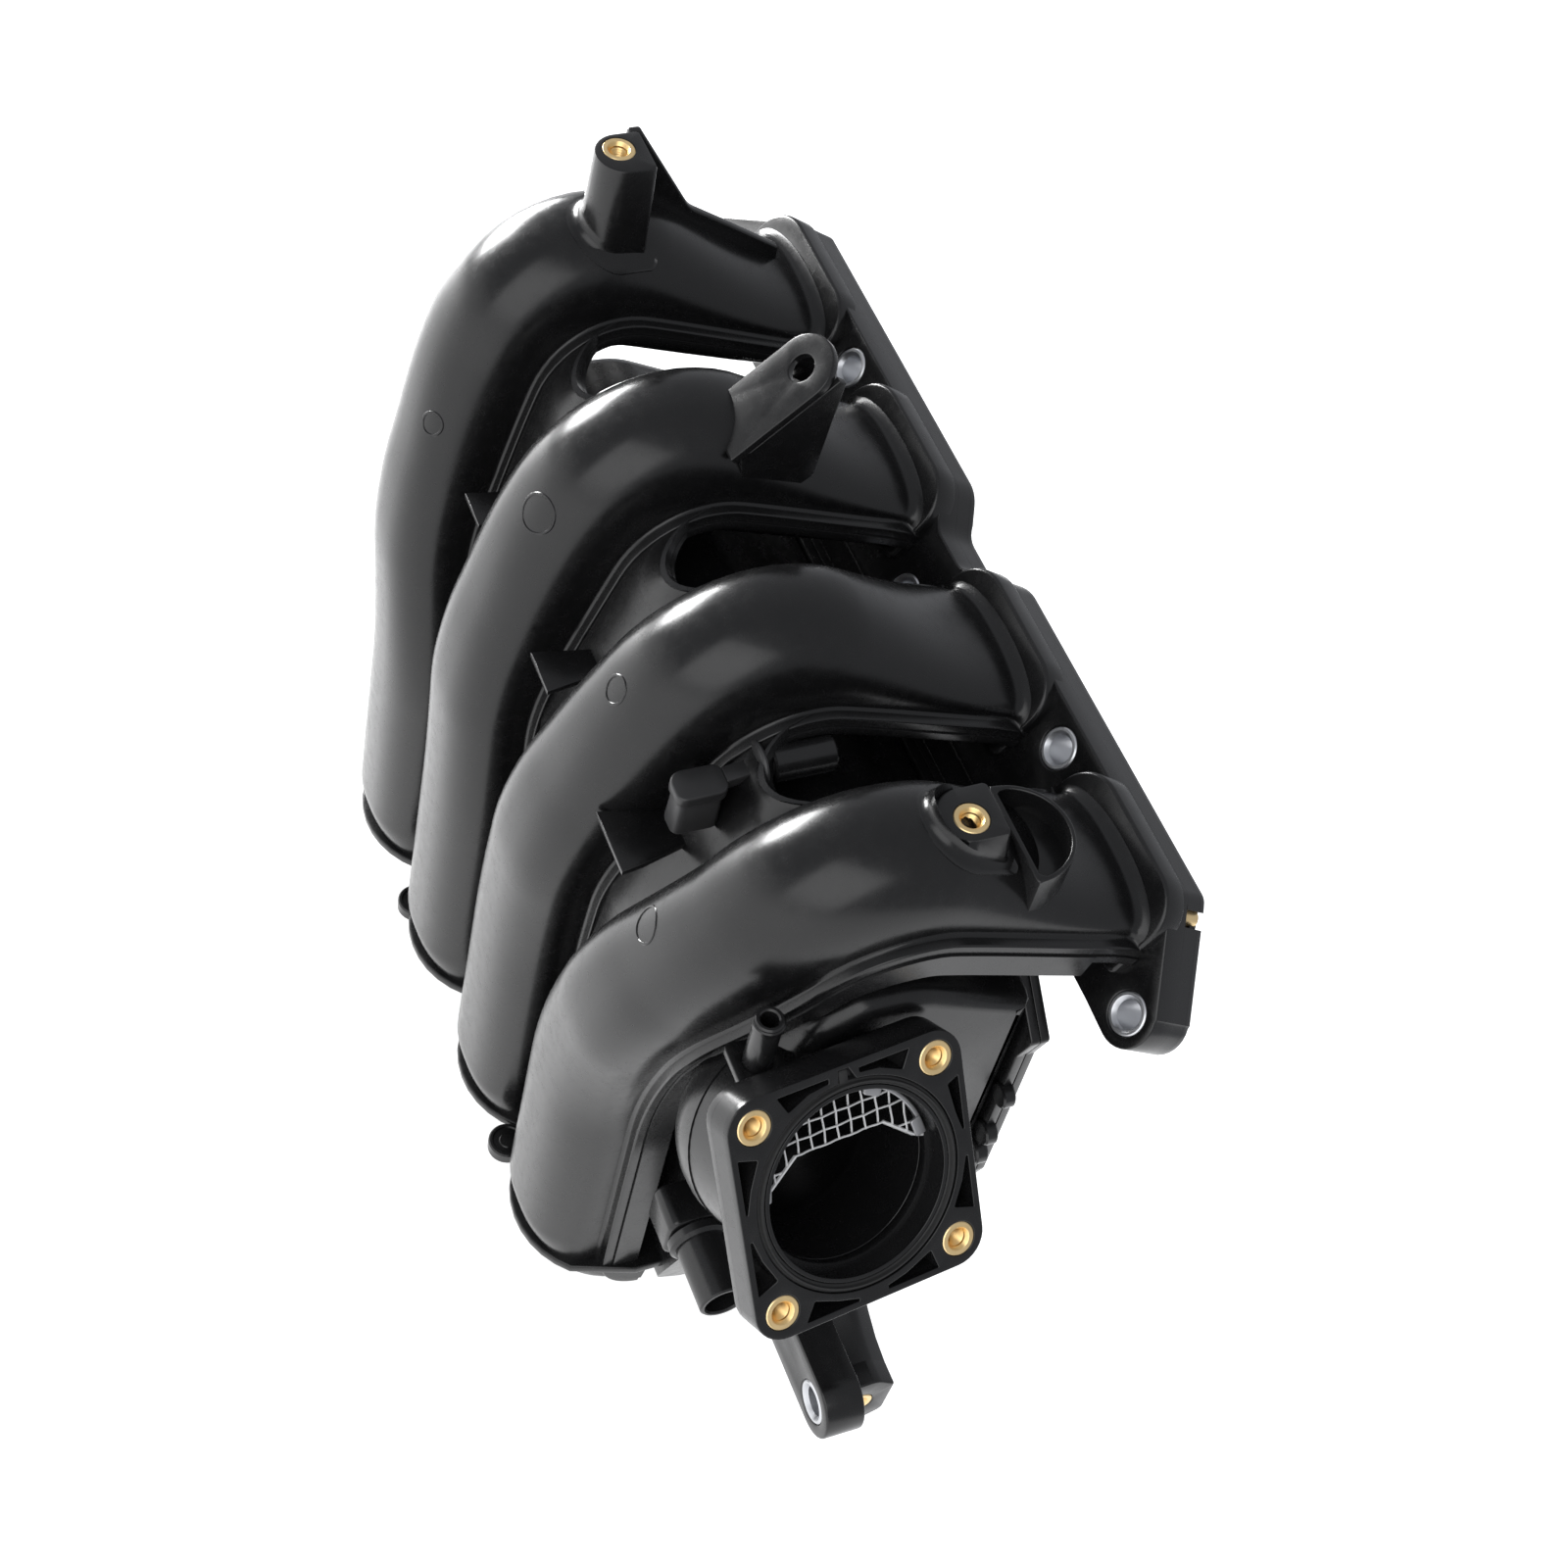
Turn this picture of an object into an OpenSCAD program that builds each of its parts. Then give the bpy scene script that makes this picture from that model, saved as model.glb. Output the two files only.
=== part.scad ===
// Intake manifold for a four-cylinder engine: welded plastic shells around a plenum,
// with metal sleeves, threaded inserts, seals and an inlet screen as separate pieces.
// Frame: origin at the centre of the cylinder-head face. +X points out of that face,
// towards the engine, +Y runs along the row away from the throttle, +Z is up the face.

/* [Head flange] */
// Distance between neighbouring intake ports
port_pitch = 87.5; // [84:0.5:92]
// Thickness of the head flange
flange_t = 18; // [14:1:22]
// Height of the upper and of the lower bolt row from the middle of the flange
bolt_rise = 11.5; // [11:0.5:13]
// Width of a port at the head face
port_w = 48; // [44:1:50]
// Height of a port at the head face
port_h = 25; // [22:1:26]
// Width of the collar around the end of a runner
collar_w = 63.6; // [62:0.2:66]

/* [Runners] */
// Angle between the head face and the vertical of the installed engine
lean_angle = 32.8; // [28:0.2:36]
// Distance between neighbouring runners where they enter the plenum
foot_pitch = 60.5; // [60:0.5:64]
// Wall thickness of the plastic shells
wall = 3; // [2.5:0.5:4]
// Thickness of one weld flange
weld_t = 3.5; // [3:0.5:5]
// Length of the straight stretch behind the head flange
reach = 56; // [50:1:62]
// Length of the upright stretch down to the plenum
drop = 139; // [120:1:145]

/* [Plenum and throttle] */
// Radius of the throttle bore
throttle_r = 29; // [27:0.5:30]
// Distance from the throttle centre to each of its bolts, along both edges
throttle_bolt = 31; // [30:0.5:32]
// Half of the edge of the square throttle flange
throttle_half = 40; // [39:0.5:42]
// Angle by which the throttle flange looks up
throttle_tilt = 35; // [30:1:40]
// Angle by which the throttle flange looks towards the engine
throttle_yaw = 7; // [4:1:10]
// Pitch of the wires in the inlet screen
wire_pitch = 4.6; // [4:0.2:6]

/* [Metal pieces] */
// Outer radius of a flange sleeve
limiter_r = 7.1; // [6.8:0.1:7.4]
// Bore radius of a flange sleeve
limiter_bore_r = 4.6; // [4.2:0.1:5]
// Outer radius of the sleeve in the lower bracket
bracket_limiter_r = 7.6; // [7:0.1:8]
// Head radius of a threaded insert
insert_r = 5.6; // [5.2:0.1:5.8]
// Bore radius of a threaded insert
insert_bore_r = 2.5; // [2.1:0.1:2.6]
// Length of a threaded insert
insert_len = 12; // [9:1:14]

/* [Hidden] */

$fn = 48;
eps = 0.01;
nylon = [0.06, 0.06, 0.065];
rubber = [0.03, 0.03, 0.03];
steel = [0.62, 0.63, 0.65];
brass = [0.80, 0.62, 0.28];

// Flange outline
flange_half_h = 22;
lobe_r = 11;
end_bolt_y = 2 * port_pitch;
bolts = [[-port_pitch, bolt_rise], [port_pitch, bolt_rise],
         [-end_bolt_y, -bolt_rise], [0, -bolt_rise], [end_bolt_y, -bolt_rise]];
port_z = 1;
port_y = [for (k = [0:3]) (1.5 - k) * port_pitch];
shoulder_y = 150;
dip_half = 27;
dip_z = 11.5;
collar_t = 3;
collar_top = 23.5;
seal_w = 3;
seal_depth = 2.5;
seal_gap = 4;
// Locating sleeve in the flange rim: [place along the row, height, 0]
sleeve_at = [-155, 14.5, 0];
sleeve_r = 3;

// Runner path: the weld plane seen from the side, in the leaning frame (h, v)
bend_r = 30;
slope = 161.7;
fall = 246;
knee_r = 80;
neck_r = 60;
foot_r = 16;
slant = 45;
face_angle = 180 - lean_angle;
s_flange = flange_t;
s_neck = s_flange + neck_r * (slope - face_angle) * PI / 180;
s_reach = s_neck + reach;
s_bend = s_reach + bend_r * (fall - slope) * PI / 180;
s_slant = s_bend + slant;
s_knee = s_slant + knee_r * (270 - fall) * PI / 180;
s_drop = s_knee + drop;
s_foot = s_drop + foot_r * PI / 2;

function ahead(p, d) = [p[0] + d * cos(p[2]), p[1] + d * sin(p[2]), p[2]];
function around(p, r, t) = [p[0] + r * (sin(p[2] + t) - sin(p[2])),
                            p[1] - r * (cos(p[2] + t) - cos(p[2])), p[2] + t];
function deg(len, r) = len / r * 180 / PI;

p_face = [port_z * sin(lean_angle), port_z * cos(lean_angle), face_angle];
p_flange = ahead(p_face, flange_t);
p_neck = around(p_flange, neck_r, slope - face_angle);
p_reach = ahead(p_neck, reach);
p_bend = around(p_reach, bend_r, fall - slope);
p_slant = ahead(p_bend, slant);
p_knee = around(p_slant, knee_r, 270 - fall);
p_drop = ahead(p_knee, drop);

function path(s) =
    s <= s_flange ? ahead(p_face, s) :
    s <= s_neck ? around(p_flange, neck_r, deg(s - s_flange, neck_r)) :
    s <= s_reach ? ahead(p_neck, s - s_neck) :
    s <= s_bend ? around(p_reach, bend_r, deg(s - s_reach, bend_r)) :
    s <= s_slant ? ahead(p_bend, s - s_bend) :
    s <= s_knee ? around(p_slant, knee_r, deg(s - s_slant, knee_r)) :
    s <= s_drop ? ahead(p_knee, s - s_knee) :
    around(p_drop, foot_r, deg(s - s_drop, foot_r));

// Sizes of the runner along its path
function blend(t) = let (c = min(1, max(0, t))) c * c * (3 - 2 * c);
function pitch(s) = port_pitch - (port_pitch - foot_pitch) * blend((s - 95) / 170);
function crest(s) = 13 + 20.5 * blend((s - s_flange) / 95) - 5.5 * blend((s - 140) / 60)
                    - 13 * blend((s - s_drop + 10) / 35);
function belly(s) = 14 + 2 * blend((s - s_flange) / 60) - 3 * blend((s - s_drop) / 20);
function half_w(s) = 27.3 - 2.8 * blend((s - s_flange) / 80);
function weld_half(s) = half_w(s) + 4.5;

// One ring of points: up and down are the reach above and below the weld plane
sides = 8;
function bulge(t, k) = sign(t) * pow(abs(t), k);
function ring(s, y, wide, up, down) = let (p = path(s), first = up > 0 ? 0 : sides,
        last = down == 0 ? sides : up > 0 ? 2 * sides - 1 : 2 * sides)
    [for (i = [first:last]) let (q = i * 180 / sides, u = wide * bulge(cos(q), 0.7),
        n = i <= sides ? up * bulge(sin(q), 0.8) : down * bulge(sin(q), 0.8))
        [p[0] + n * sin(p[2]), y + u, p[1] - n * cos(p[2])]];
function strip(s, y, wide, up, down) = let (p = path(s))
    [for (c = [[1, up], [-1, up], [-1, -down], [1, -down]])
        [p[0] + c[1] * sin(p[2]), y + c[0] * wide, p[1] - c[1] * cos(p[2])]];

// Solid that joins rings of points one after the other
module skin(rings) {
    m = len(rings[0]);
    n = len(rings);
    polyhedron([for (r = rings) each r],
        [[for (i = [m - 1:-1:0]) i], [for (i = [0:m - 1]) (n - 1) * m + i],
         for (j = [0:n - 2], i = [0:m - 1]) each
            [[(j + 1) * m + i, j * m + i, j * m + (i + 1) % m],
             [(j + 1) * m + i, j * m + (i + 1) % m, (j + 1) * m + (i + 1) % m]]]);
}

// Turns the leaning frame into the part's frame
module lean() rotate([0, -lean_angle, 0]) children();

// Stations between two places on the path, close together where it bends
function stations(a, b, n) = [for (i = [0:n]) a + (b - a) * i / n];
upper_s = concat([s_flange + 2], stations(s_neck, s_reach, 2), stations(s_reach + 11, s_bend, 3),
                 stations(s_bend + 24, s_knee, 2), stations(s_knee + 70, s_drop, 1));
turn_s = stations(s_drop, s_foot, 4);
web_s = concat(stations(s_bend - 20, s_bend, 1), stations(s_slant, s_knee, 1), [s_drop]);

function tube(list, k, shrink, up, down) =
    [for (s = list) ring(s, (1.5 - k) * pitch(s), half_w(s) - shrink,
        up ? crest(s) - shrink : 0, down ? belly(s) - shrink : 0)];
function band(list, k, up, down) =
    [for (s = list) strip(s, (1.5 - k) * pitch(s), weld_half(s), up, down)];

// ---------- shapes used by more than one piece ----------
// Plate w by h with corners of radius r
module rounded_plate(w, h, r, t) linear_extrude(t) union() {
    square([w - 2 * r, h], center = true);
    square([w, h - 2 * r], center = true);
    for (i = [-1, 1], j = [-1, 1]) translate([i * (w / 2 - r), j * (h / 2 - r)]) circle(r);
}
// Stands local XY up on the head face: local X along +Y, local Y along +Z, local Z along +X
module on_face(x) translate([x, 0, 0]) rotate([90, 0, 90]) children();
module on_throttle() lean() translate(throttle_at) rotate([90 - throttle_tilt, 0, throttle_yaw])
    children();
module at_throttle_bolt(k) on_throttle()
    translate([throttle_bolt * (k % 2 == 0 ? -1 : 1), throttle_bolt * (k < 2 ? 1 : -1), 0]) children();

module port_shape(grow, t) rounded_plate(port_w + 2 * grow, port_h + 2 * grow, 11 + grow, t);

// Throttle flange: its centre in the leaning frame, then sizes in from its face
throttle_at = [-115.7, -196.4, -22.6];
throttle_t = 14;
duct_r = throttle_r + 5;
duct_run = 44;
duct_end = throttle_at + duct_run * [-cos(throttle_tilt) * sin(throttle_yaw),
    cos(throttle_tilt) * cos(throttle_yaw), -sin(throttle_tilt)];
mouth_r = throttle_r + 1;
ledge_r = throttle_r + 0.6;
groove_in = mouth_r + 1.5;
groove_out = groove_in + 3;
screen_z = 10;
screen_t = 2;
screen_low = 12;

// Places on the runners and the plenum in the leaning frame: [h, y, v]
boss_r = 9.6;
scoop_at = [-54.5, -136.5, 54];
scoop_r = 17;
scoop_deep = 22;
boss_far = [-91.2, 127.5, 95.9];
boss_near = [-73.1, -135.5, 65.8];
bracket_at = [-89, -205, -169];
bracket_lug = [-110, -206.5, -151.8];
lug_t = 14;
bracket_root = -128;
plug_at = [-109, -76, 27];
hose_at = [-133, -175, -127];
hose_r = 8.5;
hose_len = 22;
nipple_at = [-136.7, -157.5, 18.7];
nipple_r = 4.6;
nipple_len = 22.6;
nipple_root = 42;
near_wall = -158;
far_wall = 122;
cover_h = -38;
housing_left = -126;
housing_floor = -222;
// Height of the plenum's weld flange, and the slant of the end below the throttle
rim_h = 216;
chamfer = 18;

module insert() color(brass) difference() {
    union() {
        translate([0, 0, -1]) cylinder(h = 1, r = insert_r);
        translate([0, 0, -insert_len]) cylinder(h = insert_len - 0.5, r = insert_r - 0.5);
    }
    translate([0, 0, -insert_len - 1]) cylinder(h = insert_len + 2, r = insert_bore_r);
    translate([0, 0, -1.2]) cylinder(h = 2, r1 = insert_bore_r, r2 = insert_bore_r + 1.4);
}
module insert_hole() translate([0, 0, -insert_len - 1]) cylinder(h = insert_len + 2, r = insert_r - 0.5);
module insert_seat() {
    insert_hole();
    translate([0, 0, -1]) cylinder(h = 2, r = insert_r);
}
module limiter(r, bore, len) color(steel) difference() {
    cylinder(h = len, r = r);
    translate([0, 0, -1]) cylinder(h = len + 2, r = bore);
    for (z = [0, len]) translate([0, 0, z]) mirror([0, 0, z > 0 ? 1 : 0])
        translate([0, 0, -eps]) cylinder(h = 1.2, r1 = bore + 1.2, r2 = bore);
}

// ---------- the outer half of the runners ----------
module outer_shell() color(nylon) {
    lean() difference() {
        union() {
            for (k = [0:3]) {
                skin(tube(upper_s, k, 0, true, false));
                skin(band(upper_s, k, weld_t, 0));
            }
            // Sheet that joins the four runners where they run close together
            skin([for (s = web_s) strip(s, 0, 1.5 * pitch(s), weld_t, 0)]);
            for (k = [0:2]) translate([-150, (1 - k) * 72 - 11, -24])
                cube([26, 22, 2.4]);
            boss(boss_far + [0.9, -1.9, 0], boss_r, 8.9, 50);
            boss(boss_near + [-0.6, 1.7, 0], boss_r, 10.4, 34);
            scoop();
            cover_tab();
            plug_stub();
        }
        for (k = [0:3]) skin(tube(concat([s_flange - 2], upper_s, [s_drop + 2]), k, wall, true, true));
        translate(boss_far) insert_seat();
        translate(boss_near) insert_seat();
        translate([-81, 32, 62]) rotate([0, -45, 0]) translate([28, 0, -4])
            cylinder(h = 8, r = 4.8);
        translate(plug_at) rotate([0, 90, 0]) translate([0, 0, 3]) cylinder(h = 16, r = 4);
    }
}
// Upright boss, round on one side and flat on the side towards the engine
module boss(at, r, flat, deep) translate(at - [0, 0, deep]) {
    cylinder(h = deep, r = r);
    translate([0, -r, 0]) cube([flat, 2 * r, deep]);
}
// Half-round cup beside the near boss
module scoop() translate(scoop_at - [0, 0, scoop_deep]) difference() {
    cylinder(h = scoop_deep, r = scoop_r);
    translate([0, 0, -1]) cylinder(h = scoop_deep + 2, r = scoop_r - 1.6);
    translate([-2 * scoop_r, -scoop_r, -1]) cube([2 * scoop_r, 2 * scoop_r, scoop_deep + 2]);
}
// Rounded tab with a hole, standing on the second runner
module cover_tab() {
    translate([-81, 32, 62]) rotate([0, -45, 0]) translate([-10, 0, -1.5]) union() {
        translate([0, -12, 0]) cube([38, 24, 3]);
        translate([38, 0, 0]) cylinder(h = 3, r = 12);
    }
    translate([-66, 22.4, 40]) cube([12, 2.4, 34]);
}
// Short closed pipe beside the third runner, which the plug closes
module plug_stub() translate(plug_at) rotate([0, 90, 0]) cylinder(h = 24, r = 6);

// ---------- the head flange and the inner half of the runners ----------
module flange_outline() union() {
    // The two raised stretches, the dip between them and the end lobes
    for (m = [0, 1]) mirror([m, 0]) {
        polygon([[0, -flange_half_h], [0, dip_z], [6, dip_z], [13, dip_z + 3], [20, 18.5],
                 [dip_half, flange_half_h], [shoulder_y, flange_half_h], [shoulder_y + 5, 20.5],
                 [end_bolt_y + 8, -bolt_rise + 7.5], [end_bolt_y + 6, -flange_half_h]]);
        translate([end_bolt_y, -bolt_rise]) circle(lobe_r);
    }
}
module runner_body() color(nylon) difference() {
    union() {
        on_face(-flange_t) linear_extrude(flange_t) flange_outline();
        for (y = port_y) on_face(-flange_t - collar_t) translate([y, (collar_top - 21) / 2, 0])
            rounded_plate(collar_w, collar_top + 21, 16, collar_t + 12);
        lean() for (k = [0:3]) {
            skin(tube(concat([s_flange - 2], upper_s), k, 0, false, true));
            skin(band(concat([s_flange - 1], upper_s), k, 0, weld_t));
            skin(tube(turn_s, k, 0, true, true));
        }
        lean() skin([for (s = web_s) strip(s, 0, 1.5 * pitch(s), 0, weld_t)]);
        // Foot flange that carries the lower ends of the runners
        lean() translate([-166, -1.5 * foot_pitch - 29, p_drop[1] - weld_t])
            cube([40, 3 * foot_pitch + 52, weld_t]);
        lean() for (y = [-62, 48]) translate([-163, y, p_drop[1] - 4]) cylinder(h = 6, r = 7);
    }
    lean() for (k = [0:3]) {
        skin(tube(concat([s_flange + 0.5], upper_s, [s_drop + 2]), k, wall, true, true));
        skin(tube(concat([s_drop - 2], turn_s), k, wall, true, true));
        translate([p_drop[0] + foot_r - 4, (1.5 - k) * foot_pitch, p_drop[1] - foot_r])
            rotate([0, 90, 0]) cylinder(h = 16, r = 9);
    }
    for (y = port_y) {
        on_face(-flange_t - collar_t - 1) translate([y, port_z, 0]) port_shape(0, flange_t + collar_t + 2);
        on_face(-seal_depth) translate([y, port_z, 0]) difference() {
            port_shape(seal_gap + seal_w, seal_depth + 1);
            translate([0, 0, -1]) port_shape(seal_gap, seal_depth + 3);
        }
    }
    for (b = bolts) on_face(-flange_t - 5) translate([b[0], b[1], 0])
        cylinder(h = flange_t + 10, r = limiter_r);
    // Clearance over the end sleeves for the bolt heads
    for (b = bolts) on_face(-flange_t - 30) translate([b[0], b[1], 0]) cylinder(h = 30, r = 9.5);
    on_face(-12) translate(sleeve_at) cylinder(h = 13, r = sleeve_r);
    // Notch that leaves the sleeve open to the rim
    on_face(-9) translate(sleeve_at + [-2.4, 1.2, 0]) cylinder(h = 10, r = sleeve_r);
}

// ---------- the plenum ----------
module housing_profile() polygon([[cover_h, -10], [-84, 10], [-104, 10], [-118, 0],
    [housing_left, -20], [housing_left, housing_floor + 14], [housing_left + 14, housing_floor],
    [cover_h, housing_floor]]);
module housing_space() polygon([[cover_h + 1, -15], [-84, 7 - wall], [-104, 7 - wall],
    [-116, -4], [housing_left + wall, -22], [housing_left + wall, housing_floor + 15],
    [housing_left + 15, housing_floor + wall], [cover_h + 1, housing_floor + wall]]);
// Slants the lower part of the end below the throttle
module chamfer_cut(back) translate([-300, near_wall, -100]) rotate([chamfer, 0, 0])
    translate([0, -200 + back, -300]) cube([400, 200, 400]);
// Extrudes an outline drawn in h and v along Y
module along_y(from, to) translate([0, to, 0]) rotate([90, 0, 0]) linear_extrude(to - from) children();

module plenum_housing() color(nylon) difference() {
    union() {
        lean() {
            difference() {
                union() {
                    along_y(near_wall, far_wall) housing_profile();
                    translate([cover_h - weld_t, near_wall - 4, housing_floor - 4])
                        cube([weld_t, far_wall - near_wall + 8, rim_h]);
                }
                chamfer_cut(0);
            }
            translate(hose_at) rotate([-90, 0, 0]) cylinder(h = 42, r = hose_r);
            translate(hose_at + [0, hose_len, 0]) rotate([-90, 0, 0]) cylinder(h = 5, r = hose_r + 2);
            translate(hose_at + [-2, 37, -hose_r]) cube([20, 8, 2 * hose_r]);
            translate(nipple_at - [0, 0, nipple_root]) cylinder(h = nipple_root, r = nipple_r);
            translate(nipple_at - [8, 8, nipple_len + 3]) cube([16, 16, 3]);
            bracket();
        }
        on_throttle() {
            translate([0, 0, -throttle_t])
                rounded_plate(2 * throttle_half, 2 * throttle_half, 10, throttle_t);
            translate([0, 0, -duct_run]) cylinder(h = duct_run, r = duct_r);
        }
        lean() duct_leg(duct_r);
    }
    lean() {
        difference() {
            along_y(near_wall + wall, far_wall - wall) housing_space();
            chamfer_cut(wall);
        }
        // Mouths of the four runners
        for (k = [0:3]) translate([housing_left - 5, (1.5 - k) * foot_pitch, p_drop[1] - foot_r])
            rotate([0, 90, 0]) cylinder(h = 12, r = 9);
        duct_leg(throttle_r);
        translate(hose_at + [0, -1, 0]) rotate([-90, 0, 0]) cylinder(h = 39, r = hose_r - 2);
        translate(hose_at + [0, 34, 0]) rotate([0, 90, 0]) cylinder(h = 20, r = 5);
        translate(nipple_at - [0, 0, nipple_root + 2]) cylinder(h = nipple_root + 3, r = 2.8);
        translate(bracket_lug + [-lug_t, 0, 0]) rotate([0, 90, 0])
            cylinder(h = 3 * lug_t, r = bracket_limiter_r);
        translate(bracket_at) rotate([90, 0, 0]) insert_seat();
    }
    on_throttle() {
        translate([0, 0, -duct_run]) cylinder(h = duct_run + 1, r = throttle_r);
        translate([0, 0, -screen_z]) cylinder(h = screen_z + 1, r = ledge_r);
        translate([0, 0, screen_t - screen_z]) cylinder(h = screen_z + 1, r = mouth_r);
        translate([0, 0, -seal_depth]) difference() {
            cylinder(h = seal_depth + 1, r = groove_out);
            translate([0, 0, -1]) cylinder(h = seal_depth + 3, r = groove_in);
        }
        translate([-1.75, groove_out - 1, -seal_depth]) cube([3.5, 20, seal_depth + 1]);
        for (k = [0:3]) rotate(90 * k) for (m = [0, 1]) mirror([m, 0]) pocket();
    }
    for (k = [0:3]) at_throttle_bolt(k) insert_seat();
}
// One of the eight lightening pockets around the throttle seal
module pocket() translate([0, 0, -10]) linear_extrude(11)
    polygon([[5.5, throttle_half - 3], [22.5, throttle_half - 3], [21, throttle_half - 9],
             [13, throttle_half - 6]]);
// Joins the throttle bore to the plenum
module duct_leg(r) translate(duct_end) {
    sphere(r + 0.4);
    rotate([0, 110, 50]) cylinder(h = 48, r = r);
}

// Arm below the throttle with one sleeve across it and one insert at its end
module bracket() {
    translate([bracket_at[0], bracket_root, bracket_at[2]]) rotate([90, 0, 0])
        cylinder(h = bracket_root - bracket_at[1], r = 10.5);
    translate(bracket_lug) rotate([0, 90, 0]) cylinder(h = lug_t, r = 12.5);
    translate(bracket_lug - [0, 0, 12]) cube([lug_t, bracket_root - bracket_lug[1], 24]);
}

module plenum_cover() color(nylon) lean() difference() {
    union() {
        translate([cover_h, near_wall - 4, housing_floor - 4])
            cube([weld_t, far_wall - near_wall + 8, rim_h]);
        translate([cover_h, near_wall + 6, housing_floor + 6])
            cube([16, far_wall - near_wall - 12, rim_h - 14]);
        for (i = [0:6]) translate([cover_h, near_wall + 30 + 36 * i, housing_floor + 10])
            cube([19, 3, rim_h - 22]);
    }
    difference() {
        translate([cover_h - 1, near_wall + 6 + wall, housing_floor + 6 + wall])
            cube([17 - wall, far_wall - near_wall - 12 - 2 * wall, rim_h - 14 - 2 * wall]);
        chamfer_cut(wall + 10);
    }
    chamfer_cut(0);
}

// ---------- seals ----------
module port_seal(k) color(rubber) on_face(-seal_depth) translate([port_y[k], port_z, 0]) difference() {
    port_shape(seal_gap + seal_w - 0.2, seal_depth + 0.6);
    translate([0, 0, -1]) port_shape(seal_gap + 0.2, seal_depth + 3);
}
module throttle_seal() color(rubber) on_throttle() translate([0, 0, -seal_depth]) {
    difference() {
        cylinder(h = seal_depth + 0.5, r = groove_out - 0.2);
        translate([0, 0, -1]) cylinder(h = seal_depth + 3, r = groove_in + 0.2);
    }
    translate([-1.5, groove_out - 0.8, 0]) cube([3, 6, seal_depth]);
}

// ---------- the inlet screen ----------
module screen_mesh() color(steel) on_throttle() translate([0, 0, 1 - screen_z]) {
    reach_r = throttle_r - 1;
    for (i = [-5:5]) let (x = i * wire_pitch, top = sqrt(reach_r * reach_r - x * x),
                          low = abs(x) < 15 ? screen_low : max(4, screen_low - (abs(x) - 15) * 0.75))
        if (top > low) translate([x - 0.4, low, -0.4]) cube([0.8, top - low, 0.8]);
    for (j = [0:3]) let (y = screen_low + j * wire_pitch, half = sqrt(reach_r * reach_r - y * y))
        translate([-half, y - 0.4, -0.4]) cube([2 * half, 0.8, 0.8]);
    for (m = [0, 1]) mirror([m, 0, 0]) translate([19.6, screen_low - wire_pitch - 0.4, -0.4])
        cube([7.1, 0.8, 0.8]);
}
module screen_frame() color(steel) on_throttle() translate([0, 0, -screen_z]) intersection() {
    difference() {
        cylinder(h = screen_t, r = ledge_r);
        translate([0, 0, -1]) cylinder(h = screen_t + 2, r = throttle_r - 1.2);
    }
    translate([-40, 3.5, -1]) cube([80, 40, screen_t + 2]);
}

// ---------- the plug in the short pipe ----------
module blanking_plug() color(nylon) lean() translate(plug_at) {
    translate([3, 0, 0]) rotate([0, 90, 0]) cylinder(h = 14, r = 3.9);
    translate([-2.2, 0, 0]) rotate([0, 90, 0]) cylinder(h = 2.2, r = 9);
    translate([-0.5, 0, 0]) rotate([0, 90, 0]) cylinder(h = 4, r = 3.9);
    translate([-16, -2, -1.5]) cube([14.5, 4, 3]);
    translate([-22, 0, -2.5]) rounded_plate(16, 15, 4, 5);
}

// ---------- the sleeve that locates the flange ----------
module locating_sleeve() color(brass) on_face(-11) translate(sleeve_at) difference() {
    cylinder(h = 11, r = sleeve_r);
    translate([0, 0, -1]) cylinder(h = 13, r = sleeve_r - 1.2);
}

outer_shell();
runner_body();
plenum_housing();
plenum_cover();
for (i = [0:4]) on_face(-flange_t) translate([bolts[i][0], bolts[i][1], 0])
        limiter(limiter_r, limiter_bore_r, flange_t);
lean() translate(bracket_lug) rotate([0, 90, 0])  // bracket_limiter
        limiter(bracket_limiter_r, limiter_bore_r + 0.6, lug_t);
for (i = [0:3]) at_throttle_bolt(i) insert();
lean() translate(boss_far) insert();  // boss_insert_far
lean() translate(boss_near) insert();  // boss_insert_near
lean() translate(bracket_at) rotate([90, 0, 0]) insert();  // bracket_insert
locating_sleeve();
for (i = [0:3]) port_seal(i);
throttle_seal();
screen_mesh();
screen_frame();
blanking_plug();
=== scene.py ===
import math

import bmesh
import bpy
from mathutils import Matrix, Vector
from mathutils.bvhtree import BVHTree


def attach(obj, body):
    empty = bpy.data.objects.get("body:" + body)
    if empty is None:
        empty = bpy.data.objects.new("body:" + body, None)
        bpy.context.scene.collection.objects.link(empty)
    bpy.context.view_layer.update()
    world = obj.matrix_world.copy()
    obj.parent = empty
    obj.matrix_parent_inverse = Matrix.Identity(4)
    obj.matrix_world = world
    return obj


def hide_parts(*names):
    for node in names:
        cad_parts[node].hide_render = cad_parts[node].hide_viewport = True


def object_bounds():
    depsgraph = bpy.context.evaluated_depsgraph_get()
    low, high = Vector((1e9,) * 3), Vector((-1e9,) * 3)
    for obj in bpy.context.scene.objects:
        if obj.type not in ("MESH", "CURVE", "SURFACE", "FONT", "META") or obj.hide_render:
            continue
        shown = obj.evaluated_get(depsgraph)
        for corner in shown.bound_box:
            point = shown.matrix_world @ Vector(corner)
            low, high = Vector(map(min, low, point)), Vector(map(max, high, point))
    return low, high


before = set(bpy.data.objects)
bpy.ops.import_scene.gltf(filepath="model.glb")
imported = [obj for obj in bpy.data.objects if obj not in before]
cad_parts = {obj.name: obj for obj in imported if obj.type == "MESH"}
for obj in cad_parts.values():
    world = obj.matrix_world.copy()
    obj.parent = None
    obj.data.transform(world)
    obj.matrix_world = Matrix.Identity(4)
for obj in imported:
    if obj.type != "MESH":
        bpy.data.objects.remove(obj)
cad_low, cad_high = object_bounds()
scene = bpy.context.scene

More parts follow.
